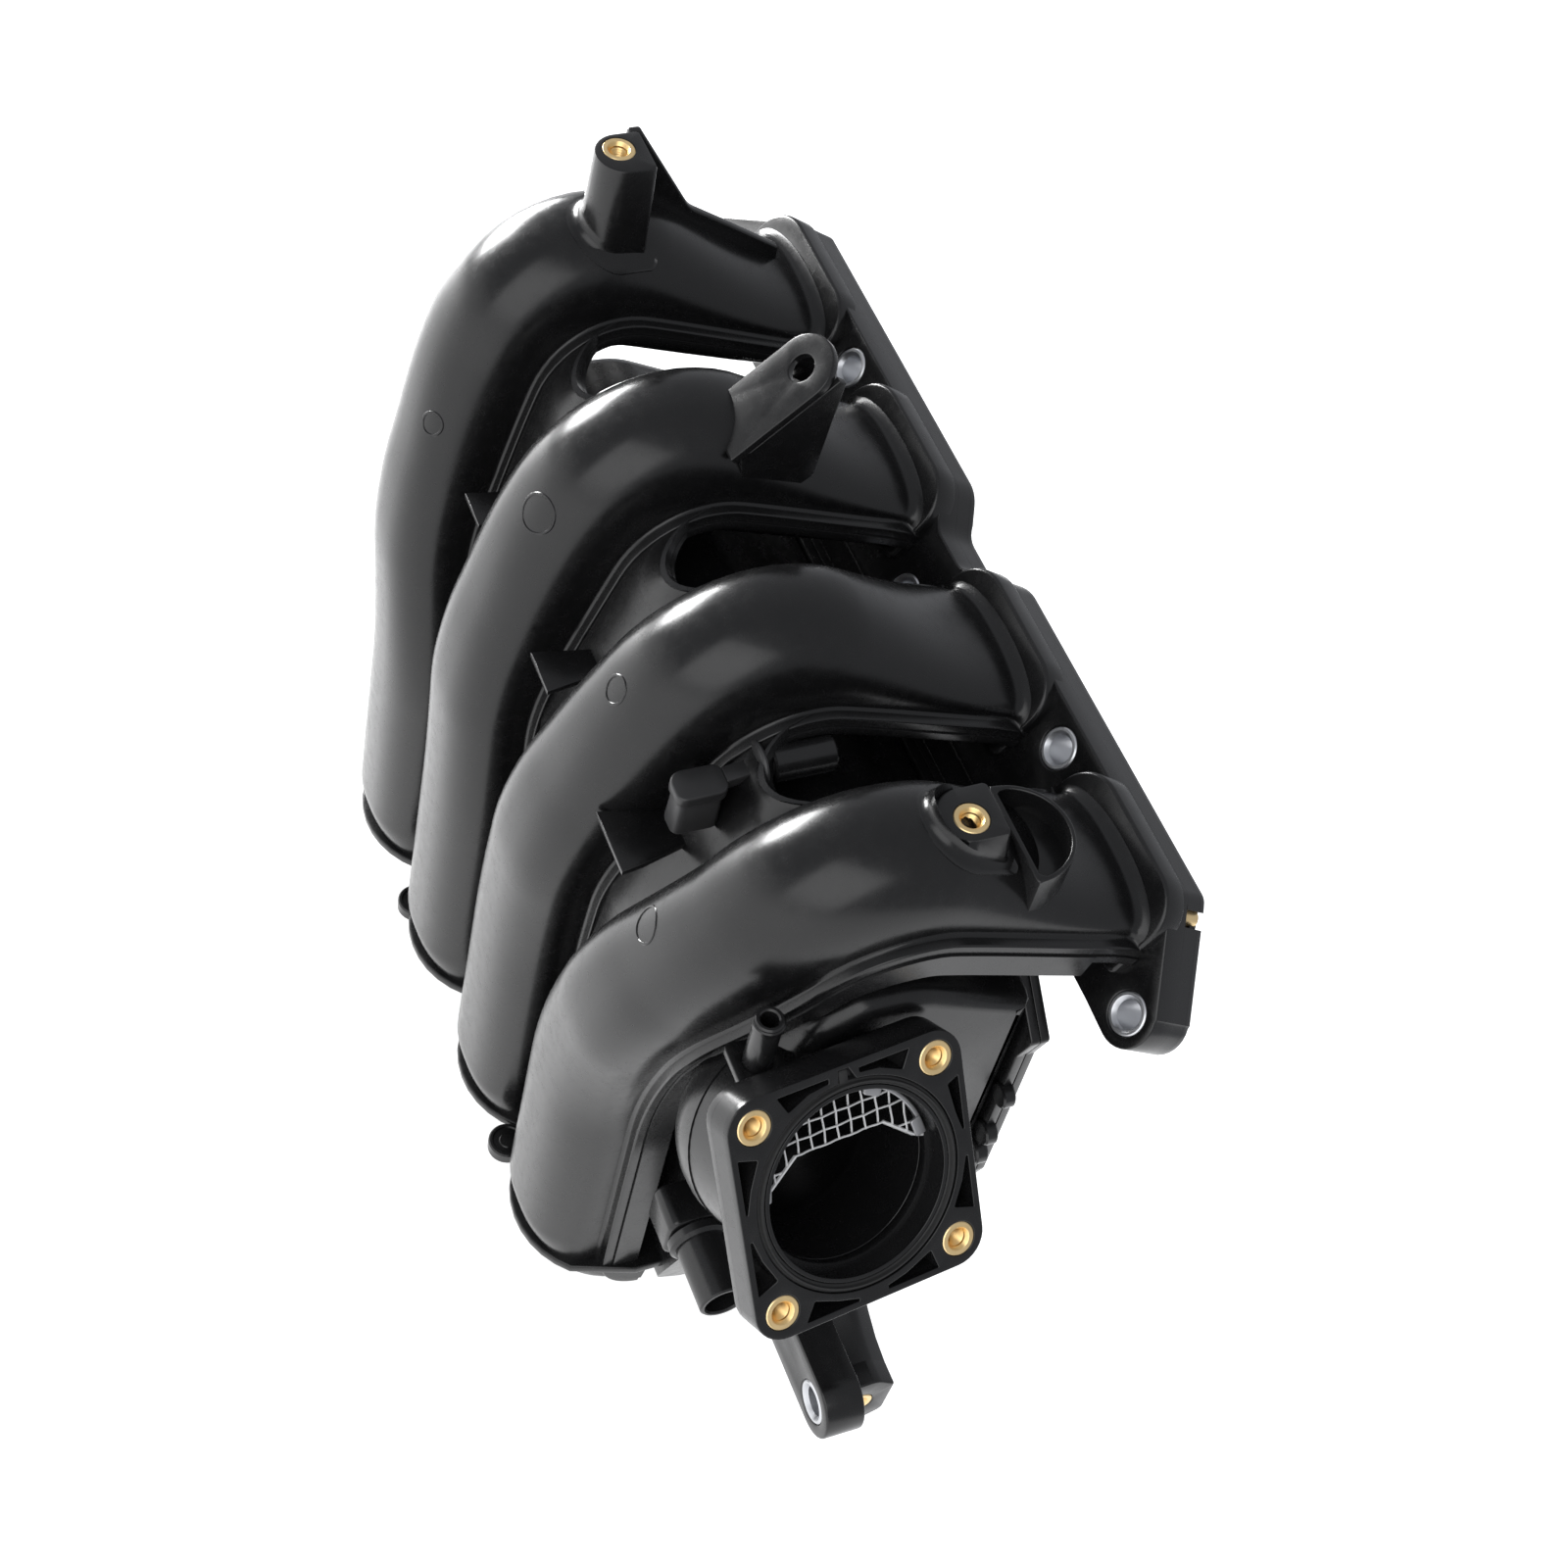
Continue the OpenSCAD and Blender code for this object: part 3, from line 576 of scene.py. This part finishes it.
# ---------------------------------------------------------------------------
# Runner body: the head flange with its four collars and the lower halves of the
# runners in one moulding. Ports, bolt holes and seal grooves open on the flange;
# a flange around the feet carries two ears that are pegged to the plenum.
on_face = Matrix(((0, 0, 1, 0), (1, 0, 0, 0), (0, 1, 0, 0), (0, 0, 0, 1)))
port_rows = [(1.5 - k) * port_pitch for k in range(4)]
bolt_spots = [(-87.5, 11.5), (87.5, 11.5), (-175, -11.5), (0, -11.5), (175, -11.5)]


def port_line(y, grow):
    return [(y + u, 1 + z) for u, z in rounded([
        (-24 - grow, -12.5 - grow, 11 + grow), (24 + grow, -12.5 - grow, 11 + grow),
        (24 + grow, 12.5 + grow, 11 + grow), (-24 - grow, 12.5 + grow, 11 + grow)], 7)]


def flange_line(side):
    """The flange outline from its middle towards one end, side is 1 or -1."""
    return [(side * y, z) for y, z in (
        [(4, 11.5)] + corner(6, 20.5, 9, 270, 322, 5) + corner(27, 8, 14, 128, 92, 5)
        + corner(151, 16.5, 5.5, 90, 50, 4) + [(183.2, -3.6)]
        + corner(175, -11.5, 11, 40, -90, 12) + corner(162, -21, 1, 270, 265, 1))]


flange_outer = flange_line(-1) + flange_line(1)[::-1]
notch = []
for y, z in flange_outer:
    notch.append((y, z))
    if len(notch) > 1 and notch[-2][0] > -160 > -183 >= y - 0.3 and z < 0:
        notch[-1:] = [(-156.5, 19.2), (-153.2, 15.4), (-157.3, 11.8), (-160.6, 15.6), (y, z)]
bolt_holes = [ring_line(7.1, 32, y, z) for y, z in bolt_spots]
body_bm = bmesh.new()
ports = [port_line(y, 0) for y in port_rows]
seal_seats = [port_line(y, 7) for y in port_rows]
slab(body_bm, [flange_outer] + ports + bolt_holes, -18, -8.9, on_face, soft=(0.7, 0))
slab(body_bm, [notch] + ports + bolt_holes, -9, -2.5, on_face, soft=(0, 0))
slab(body_bm, [notch] + seal_seats + bolt_holes, -2.6, 0, on_face, soft=(0, 0.4))
for y in port_rows:
    slab(body_bm, [port_line(y, 4), port_line(y, 0)], -2.6, 0, on_face, soft=(0, 0.3))
    # Collar around the end of a runner, a little proud of the flange
    collar = [(y + u, z) for u, z in rounded([(-31.8, -9, 3), (31.8, -9, 3), (31.8, 23.5, 15),
                                              (-31.8, 23.5, 15)], 9)]
    slab(body_bm, [collar, port_line(y, 0)], -21.6, -12.6, on_face, soft=(1.2, 0.5))
    slab(body_bm, [inset(collar, 1.0), port_line(y, 0)], -12.9, -11.2, on_face, soft=(0, 0))
under_stops = spaced(s_collar - 2.5, (s_collar, 1), (60, 4), (s_drop - 20, 3.5), (s_drop + 22, 2))
for k in range(4):
    run_shell(body_bm, under_stops, lambda s: (1.5 - k) * runner_pitch(s),
              lambda s: shell_section(half_width(s), belly(s), half_width(s) + 5.1, 3.5, 3, 1.5), -1)
# Deep skirt along the near side of the last runner
run_shell(body_bm, under_stops[6:], lambda s: -1.5 * runner_pitch(s) - half_width(s) - 4.4,
          lambda s: [(-0.9, 0.2), (1.2, 0.2), (1.2, 9.5), (0.6, 10), (-0.3, 10), (-0.9, 9.4)], -1)
for k in range(3):
    run_web(body_bm, k, -2.6, -0.15, 0)
# Flange around the feet, with the two ears
feet = []
for k in range(3, -1, -1):
    middle = (1.5 - k) * foot_pitch
    feet += [(-h, y) for h, y in corner(136, middle, 34, -50, 50, 10)]
feet += [(-136, 124), (-122, 124), (-122, -124), (-136, -124)]
slab(body_bm, [feet], -2.2, 1.4, placed(0, 0, -195.5), soft=(0.6, 0.8))
for y in (48, -62):
    lathe(body_bm, [(0, -3), (6.4, -3), (7, -2.4), (7, 1.6), (6.5, 2.2), (5.6, 2.2), (5.2, 1.7), (3.2, 1.7),
                    (2.8, 2), (0, 2)], placed(-163, y, -195.5))
runner_body = finish_piece(body_bm, "runner_body_skin", nylon)
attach(runner_body, "root")
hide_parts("runner_body")

# ---------------------------------------------------------------------------
# Plenum housing: the box under the runners with the tilted throttle flange, its
# elbow, a hose pipe, a vacuum nipple and the bracket arm, moulded as one piece.
throttle_turn = placed(-115.7, -196.4, -22.6, (7, "Z"), (55, "X"))
housing_bm = bmesh.new()
profile = rounded([(-41.5, -11.5, 3), (-84, 10, 30), (-104, 10, 10), (-118, 0, 12), (-126, -20, 12),
                   (-126, -208, 10), (-112, -222, 10), (-41.5, -222, 3)], 5)
slab(housing_bm, [profile], -122, 158, placed(0, 0, 0, (90, "X")), soft=(6, 6))
end_slope = math.radians(18)
bmesh.ops.bisect_plane(housing_bm, geom=housing_bm.verts[:] + housing_bm.edges[:] + housing_bm.faces[:],
                       dist=0.001, plane_co=lean_turn @ Vector((0, -158, -100)),
                       plane_no=lean_turn @ Vector((0, -math.cos(end_slope), -math.sin(end_slope))),
                       clear_outer=True)
bmesh.ops.holes_fill(housing_bm, edges=[e for e in housing_bm.edges if e.is_boundary], sides=0)
# Weld flange with the small lobes along its near edge
on_side = lean_turn @ Matrix(((0, 0, 1, 0), (1, 0, 0, 0), (0, 1, 0, 0), (0, 0, 0, 1)))
weld_line = rounded([(-163.5, -27, 2), (-142, -10, 12), (126, -10, 8), (126, -226, 10), (-124, -226, 12),
                     (-160, -112, 8), (-159.5, -40, 4)], 5)
slab(housing_bm, [weld_line], -41.5, -38.1, on_side, soft=(0.7, 0.3))
for y, v in ((-160, -62), (-159.5, -86), (-159, -99), (-156, -112)):
    lathe(housing_bm, [(0, -42.5), (4, -42.5), (4.6, -41.9), (4.6, -38.6), (4.1, -38.1), (0, -38.1)],
          on_side @ Matrix.Translation((y, v, 0)), 28)
# Throttle flange: back plate, pocketed middle and grooved face
throttle_square = rounded([(-40, -40, 10), (40, -40, 10), (40, 40, 10), (-40, 40, 10)], 8)
pockets = [
    [(-22.5, 37.3), (-5.2, 37.3), (-5.2, 35.8), (-12, 34.9), (-19.5, 31.5)],
    [(22.5, 37.3), (19.5, 31.5), (12, 34.9), (5.2, 35.8), (5.2, 37.3)],
    [(-37.8, 22.5), (-31.5, 20.5), (-35.2, 12), (-37.3, 4.6), (-37.8, 4.6)],
    [(-37.8, -4.6), (-37.2, -4.6), (-35, -12), (-31, -20), (-37.8, -22.8)],
    [(37.8, 22.8), (37.8, 4.8), (37.2, 4.8), (35.6, 11), (34, 21)],
    [(37.8, -4.6), (37.8, -22.4), (31, -20), (35, -12), (37.2, -4.6)],
    [(-23.5, -37.8), (-20, -31.8), (-12, -35), (-5.2, -37), (-5.2, -37.8)],
    [(5.2, -37.8), (5.2, -36.6), (12, -35), (21, -31), (23, -37.8)]]
pockets = [rounded([(x, y, 0.2 if max(abs(x), abs(y)) > 36.5 else 0.5) for x, y in pocket], 2)
           for pocket in pockets]
insert_seats = [ring_line(5.7, 32, x, y) for x in (-31, 31) for y in (-31, 31)]
groove = ring_line(34.5, 120, 0, 0, 93.5, 446.5) + [(1.75, 38.6), (-1.75, 38.6)]
slab(housing_bm, [throttle_square, ring_line(29, 72)], -14, -9.9, throttle_turn, soft=(1.2, 0))
slab(housing_bm, [throttle_square, ring_line(30, 72)] + pockets + insert_seats, -10, -2.4, throttle_turn,
     soft=(0, 0))
slab(housing_bm, [throttle_square, groove] + pockets + insert_seats, -2.5, 0, throttle_turn, soft=(0, 0.35))
slab(housing_bm, [ring_line(31.5, 72), ring_line(30, 72)], -2.5, -0.6, throttle_turn, soft=(0, 0.3))
lathe(housing_bm, tube_profile(29, 34, -44, -13, 0.4), throttle_turn, 64)
duct_bend = -44
elbow = [(0, duct_bend - 29.4)]
for radius, angles in ((29.4, range(-81, 1, 9)), (34.4, range(0, -82, -9))):
    elbow += [(radius * math.cos(math.radians(a)), duct_bend + radius * math.sin(math.radians(a)))
              for a in angles]
elbow.append((0, duct_bend - 34.4))
lathe(housing_bm, elbow, throttle_turn, 56)
lathe(housing_bm, tube_profile(29.4, 34, 12, 46, 0.4),
      lean_turn @ Matrix.Translation((lean_turn.inverted() @ throttle_turn @ Vector((0, 0, duct_bend))))
      @ Matrix.Rotation(math.radians(50), 4, "Z") @ Matrix.Rotation(math.radians(110), 4, "Y"), 56)
# Hose pipe with its bead and elbow block, then the vacuum nipple on its plate
hose_turn = placed(-133, -175, -127, (-90, "X"))
lathe(housing_bm, tube_profile(6.5, 8.5, 0, 27, 0.6), hose_turn)
lathe(housing_bm, tube_profile(6.5, 10.5, 22, 27, 1.2), hose_turn)
slab(housing_bm, [rounded([(-10.5, -10, 4), (13, -10, 2), (13, 10, 2), (-10.5, 10, 4)])], 26.5, 42,
     hose_turn, soft=(1.5, 1))
nipple_turn = placed(-136.7, -157.5, 18.7)
lathe(housing_bm, tube_profile(2.8, 4.6, -42, 0, 0.5), nipple_turn)
lathe(housing_bm, tube_profile(4.2, 5.1, -3.6, -0.9, 0.5), nipple_turn)
slab(housing_bm, [rounded([(-8, -8, 2), (8, -8, 2), (8, 8, 2), (-8, 8, 2)], 4), ring_line(4.5, 24)],
     -25.6, -22.6, nipple_turn, soft=(0.5, 0.5))
# Bracket arm with a lug for its sleeve and a flat end for its insert
arm = rounded([(-101, -157, 1), (-84, -155, 6), (-76.5, -161, 1.5), (-77.5, -179, 4), (-85, -183, 5),
               (-99, -177, 7)])
slab(housing_bm, [arm, ring_line(5.7, 28, -89, -169)], 196, 205, placed(0, 0, 0, (90, "X")), soft=(0, 0.8))


def arm_point(i, j):
    """The arm deepens upwards from its end, over the first six of its nine rows."""
    h, v = arm[j % len(arm)]
    return Vector((h, -196.5 + 8.5 * i, v + (v + 183) / 28 * 26 * ease(i / 6)))


arm_bm = bmesh.new()
drape(arm_bm, 9, len(arm) + 1, arm_point)
bmesh.ops.remove_doubles(arm_bm, verts=arm_bm.verts, dist=0.0005)
bmesh.ops.holes_fill(arm_bm, edges=[e for e in arm_bm.edges if e.is_boundary], sides=0)
join(housing_bm, arm_bm, lean_turn)
lug = ring_line(12.5, 30, -206.5, -151.8, 90, 270)
lug += [(-206.5, -164.3), (-128, -164.3), (-128, -139.3), (-206.5, -139.3)]
slab(housing_bm, [lug[::-1], ring_line(7.7, 32, -206.5, -151.8)], -110, -96, on_side, soft=(0.8, 0.8))
housing = finish_piece(housing_bm, "plenum_housing_skin", nylon)
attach(housing, "root")
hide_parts("plenum_housing")

# ---------------------------------------------------------------------------
# Plenum cover: the engine-side shell of the plenum, welded to the housing all
# round, with stiffening ribs along its back.
cover_bm = bmesh.new()
slab(cover_bm, [weld_line], -37.9, -34.5, on_side, soft=(0.3, 0.7))
shell_line = rounded([(-144, -84, 12), (-96, -14, 16), (116, -14, 10), (116, -216, 12), (-119, -216, 14),
                      (-144, -128, 14)], 6)
slab(cover_bm, [shell_line], -35, -22, on_side, soft=(0, 3))
for i in range(7):
    y = -126.5 + 36 * i
    slab(cover_bm, [[(y - 1.5, -28), (y + 1.5, -28), (y + 1.5, -204), (y - 1.5, -204)]], -23, -19, on_side,
         soft=(0, 0.6))
cover = finish_piece(cover_bm, "plenum_cover_skin", nylon)
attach(cover, "root")
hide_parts("plenum_cover")

# ---------------------------------------------------------------------------
# Sleeves: turned, zinc-plated steel tubes that take the clamping load of the
# flange bolts and of the lower bracket. Their ends have a broad bright chamfer.
zinc = marked_finish("zinc_steel", (0.46, 0.47, 0.49), (0.68, 0.69, 0.71), (0.30, 0.46),
                     900, 0.35, 60, 0.3, 0.00004, 1.0)


def sleeve(name, node, outer, bore, length, turn):
    sleeve_bm = bmesh.new()
    lathe(sleeve_bm, [(bore + 1.2, 0), (outer - 0.5, 0), (outer - 0.05, 0.4), (outer - 0.05, length - 0.4),
                      (outer - 0.5, length), (bore + 1.2, length), (bore + 0.4, length - 0.8),
                      (bore, length - 1.4), (bore, 1.4), (bore + 0.4, 0.8)], turn, 56)
    made = finish_piece(sleeve_bm, name, zinc, 24)
    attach(made, "root")
    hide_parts(node)


for i, (y, z) in enumerate(bolt_spots):
    sleeve("flange_sleeve_%d" % (i + 1), "flange_limiter_%d" % (i + 1), 7.1, 4.6, 18,
           on_face @ Matrix.Translation((y, z, -18)))
sleeve("bracket_sleeve", "bracket_limiter", 7.6, 5.2, 14, placed(-110, -206.5, -151.8, (90, "Y")))

# ---------------------------------------------------------------------------
# Threaded inserts: brass, pressed warm into the nylon, with a flat head, a
# countersink and an M6 thread. The locating sleeve is a plain brass tube.
brass = marked_finish("turned_brass", (0.80, 0.56, 0.24), (0.93, 0.72, 0.40), (0.30, 0.44),
                      1200, 0.3, 80, 0.3, 0.00003, 1.0)


def insert(name, node, turn):
    insert_bm = bmesh.new()
    thread = []
    for i in range(11):
        thread += [(2.95, -1.9 - i * 0.95), (2.5, -2.35 - i * 0.95)]
    body = [(3.9, 0), (5.25, 0), (5.55, -0.25), (5.55, -1.0), (5.05, -1.05), (5.05, -12), (2.5, -12)]
    lathe(insert_bm, body + thread[::-1] + [(2.95, -1.2), (3.6, -0.3)], turn, 48)
    made = finish_piece(insert_bm, name, brass, 28)
    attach(made, "root")
    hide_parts(node)


for i in range(4):
    insert("throttle_thread_%d" % (i + 1), "throttle_insert_%d" % (i + 1),
           throttle_turn @ Matrix.Translation((31 * (-1 if i % 2 == 0 else 1), 31 * (1 if i < 2 else -1), 0)))
insert("boss_thread_far", "boss_insert_far", placed(-91.2, 127.5, 95.9))
insert("boss_thread_near", "boss_insert_near", placed(-73.1, -135.5, 65.8))
insert("bracket_thread", "bracket_insert", placed(-89, -205, -169, (90, "X")))
locating_bm = bmesh.new()
lathe(locating_bm, [(1.8, -11), (2.6, -11), (2.95, -10.6), (2.95, -0.4), (2.6, 0), (2.1, 0), (1.8, -0.3)],
      on_face @ Matrix.Translation((-155, 14.5, 0)), 40)
locating = finish_piece(locating_bm, "locating_tube", brass, 28)
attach(locating, "root")
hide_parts("locating_sleeve")

# ---------------------------------------------------------------------------
# Seals: moulded rubber rings, one with two lips around each port and one with a
# key in the throttle flange. They stand half a millimetre out of their grooves.
rubber = marked_finish("seal_rubber", (0.007, 0.007, 0.007), (0.022, 0.022, 0.022), (0.5, 0.72),
                       1800, 0.5, 90, 0.5, 0.00006)
for k, y in enumerate(port_rows):
    seal_bm = bmesh.new()
    slab(seal_bm, [port_line(y, 6.8), port_line(y, 4.2)], -2.5, -0.2, on_face, soft=(0, 0.3))
    slab(seal_bm, [port_line(y, 6.4), port_line(y, 5.7)], -0.5, 0.5, on_face, soft=(0, 0.3))
    slab(seal_bm, [port_line(y, 5.3), port_line(y, 4.6)], -0.5, 0.5, on_face, soft=(0, 0.3))
    port_seal = finish_piece(seal_bm, "port_ring_%d" % (k + 1), rubber)
    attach(port_seal, "root")
    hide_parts("port_seal_%d" % (k + 1))
ring_bm = bmesh.new()
lathe(ring_bm, [(31.7, -2.5), (34.3, -2.5), (34.3, -0.8), (34.0, -0.5), (33.6, -0.5), (33.2, 0.4),
                (32.8, 0.4), (32.4, -0.5), (32.0, -0.5), (31.7, -0.8)], throttle_turn, 96)
slab(ring_bm, [rounded([(-1.5, 33.7, 0.2), (1.5, 33.7, 0.2), (1.5, 38.2, 0.8), (-1.5, 38.2, 0.8)], 4)],
     -2.5, -0.6, throttle_turn, soft=(0, 0.3))
throttle_ring = finish_piece(ring_bm, "throttle_ring", rubber)
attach(throttle_ring, "root")
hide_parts("throttle_seal")

# ---------------------------------------------------------------------------
# Inlet screen: a woven wire mesh across the upper half of the throttle bore,
# held by a narrow pressed rim with small clips.
wire_finish = marked_finish("screen_wire", (0.50, 0.50, 0.50), (0.72, 0.72, 0.72), (0.35, 0.5),
                            1500, 0.3, 90, 0.3, 0.00002, 0.6)
rim_finish = marked_finish("screen_rim", (0.30, 0.30, 0.31), (0.52, 0.52, 0.53), (0.35, 0.5),
                           1500, 0.3, 90, 0.3, 0.00002, 0.8)


def wire(bm, points, radius=0.34):
    """A round wire through points, in the throttle's frame."""
    part = bmesh.new()
    path = [Vector(p) for p in points]

    def ring_point(i, j):
        along = (path[min(i + 1, len(path) - 1)] - path[max(i - 1, 0)]).normalized()
        side = along.cross(Vector((0, 0, 1))).normalized()
        a = 2 * math.pi * (j % 6) / 6
        return path[i] + (side * math.cos(a) + side.cross(along) * math.sin(a)) * radius

    drape(part, len(path), 7, ring_point)
    bmesh.ops.remove_doubles(part, verts=part.verts, dist=0.0005)
    bmesh.ops.holes_fill(part, edges=[e for e in part.edges if e.is_boundary], sides=0)
    join(bm, part, throttle_turn)


mesh_reach = 28.2
mesh_depth = -9
mesh_pitch = 4.6
mesh_low = 12


def screen_low(x):
    """Lower end of an upright wire: level in the middle and sloping down at the sides."""
    return 12 if abs(x) < 15 else 12 - (abs(x) - 15) * 0.8


def strand(bm, low, high, crossed, weave, place):
    """A wire from low to high, woven through the wires it crosses. place gives a point from run and depth."""
    count = max(2, round((high - low) / (mesh_pitch / 2)))
    runs = [low + (high - low) * q / count for q in range(count + 1)]
    wire(bm, [place(run, mesh_depth + weave * math.cos((run - crossed) / mesh_pitch * math.pi))
              for run in runs])


screen_bm = bmesh.new()
for i in range(-5, 6):
    x = i * mesh_pitch
    low, top = screen_low(x), math.sqrt(mesh_reach ** 2 - x * x)
    if top > low:
        strand(screen_bm, low, top, mesh_low, 0.3 * (-1) ** i, lambda run, depth: (x, run, depth))
for j in range(4):
    y = mesh_low + j * mesh_pitch
    half = math.sqrt(mesh_reach ** 2 - y * y) if j else 15.4
    strand(screen_bm, -half, half, 0, -0.3 * (-1) ** j, lambda run, depth: (run, y, depth))
for m in (-1, 1):
    edge = ((15.2, mesh_low), (20, 8.1), (24.6, 4.3), (mesh_reach, 2.8))
    wire(screen_bm, [(m * x, y, mesh_depth) for x, y in edge], 0.6)
    wire(screen_bm, [(m * 19.6, 8.4, mesh_depth), (m * 26.6, 8.4, mesh_depth)])
screen = finish_piece(screen_bm, "screen_wires", wire_finish, 40)
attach(screen, "root")
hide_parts("screen_mesh")
rim_bm = bmesh.new()
rim_line = ring_line(29.4, 50, 0, 0, 7, 175)
rim_line.append((-29.4 * math.cos(math.radians(5)), 29.4 * math.sin(math.radians(5))))
rim_line += [(-x, y) for x, y in ring_line(27.9, 50, 0, 0, 7, 175)]
slab(rim_bm, [rim_line], -9.9, -8.2, throttle_turn, soft=(0.2, 0.4))
for a in (14, 62, 118, 172):
    slab(rim_bm, [rounded([(25.4, -3, 0.8), (29, -3, 0.4), (29, 3, 0.4), (25.4, 3, 0.8)], 3)], -8.6, -7.6,
         throttle_turn @ Matrix.Rotation(math.radians(a), 4, "Z"), soft=(0.2, 0.3))
screen_rim = finish_piece(rim_bm, "screen_rim_strip", rim_finish, 30)
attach(screen_rim, "root")
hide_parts("screen_frame")

# ---------------------------------------------------------------------------
# Blanking plug: a small nylon plug pushed into the pipe stub, with a thin collar,
# a neck and a rounded paddle to pull it by.
plug_finish = marked_finish("plug_nylon", (0.012, 0.012, 0.0125), (0.035, 0.035, 0.036), (0.34, 0.44),
                            2600, 0.08, 40, 0.6, 0.00012)
plug_bm = bmesh.new()
lathe(plug_bm, [(0, -2.2), (7.6, -2.2), (8.4, -1.8), (8.8, -1.1), (8.4, -0.4), (7.6, 0), (3.9, 0.2),
                (3.9, 16.6), (3.4, 17), (0, 17)], stub_turn)
slab(plug_bm, [rounded([(-13, -4.4, 0.6), (-1, -3, 0.6), (-1, 3, 0.6), (-13, 1.6, 0.6)])], -2, 2,
     placed(-109, -76, 27), soft=(0.6, 0.6))
paddle = rounded([(-8.6, -6.2, 3.5), (8.8, -6.2, 4), (8.8, 5.4, 3), (-8.6, 5.4, 4.5)])
paddle_turn = placed(-130.7, -78.3, 27)
slab(plug_bm, [paddle], -1.4, 2.6, paddle_turn, soft=(0.4, 0.8))
slab(plug_bm, [inset(paddle, 0.7)], -16, -1.3, paddle_turn, soft=(0.8, 0), draft=0.4)
plug = finish_piece(plug_bm, "plug_skin", plug_finish)
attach(plug, "root")
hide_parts("blanking_plug")
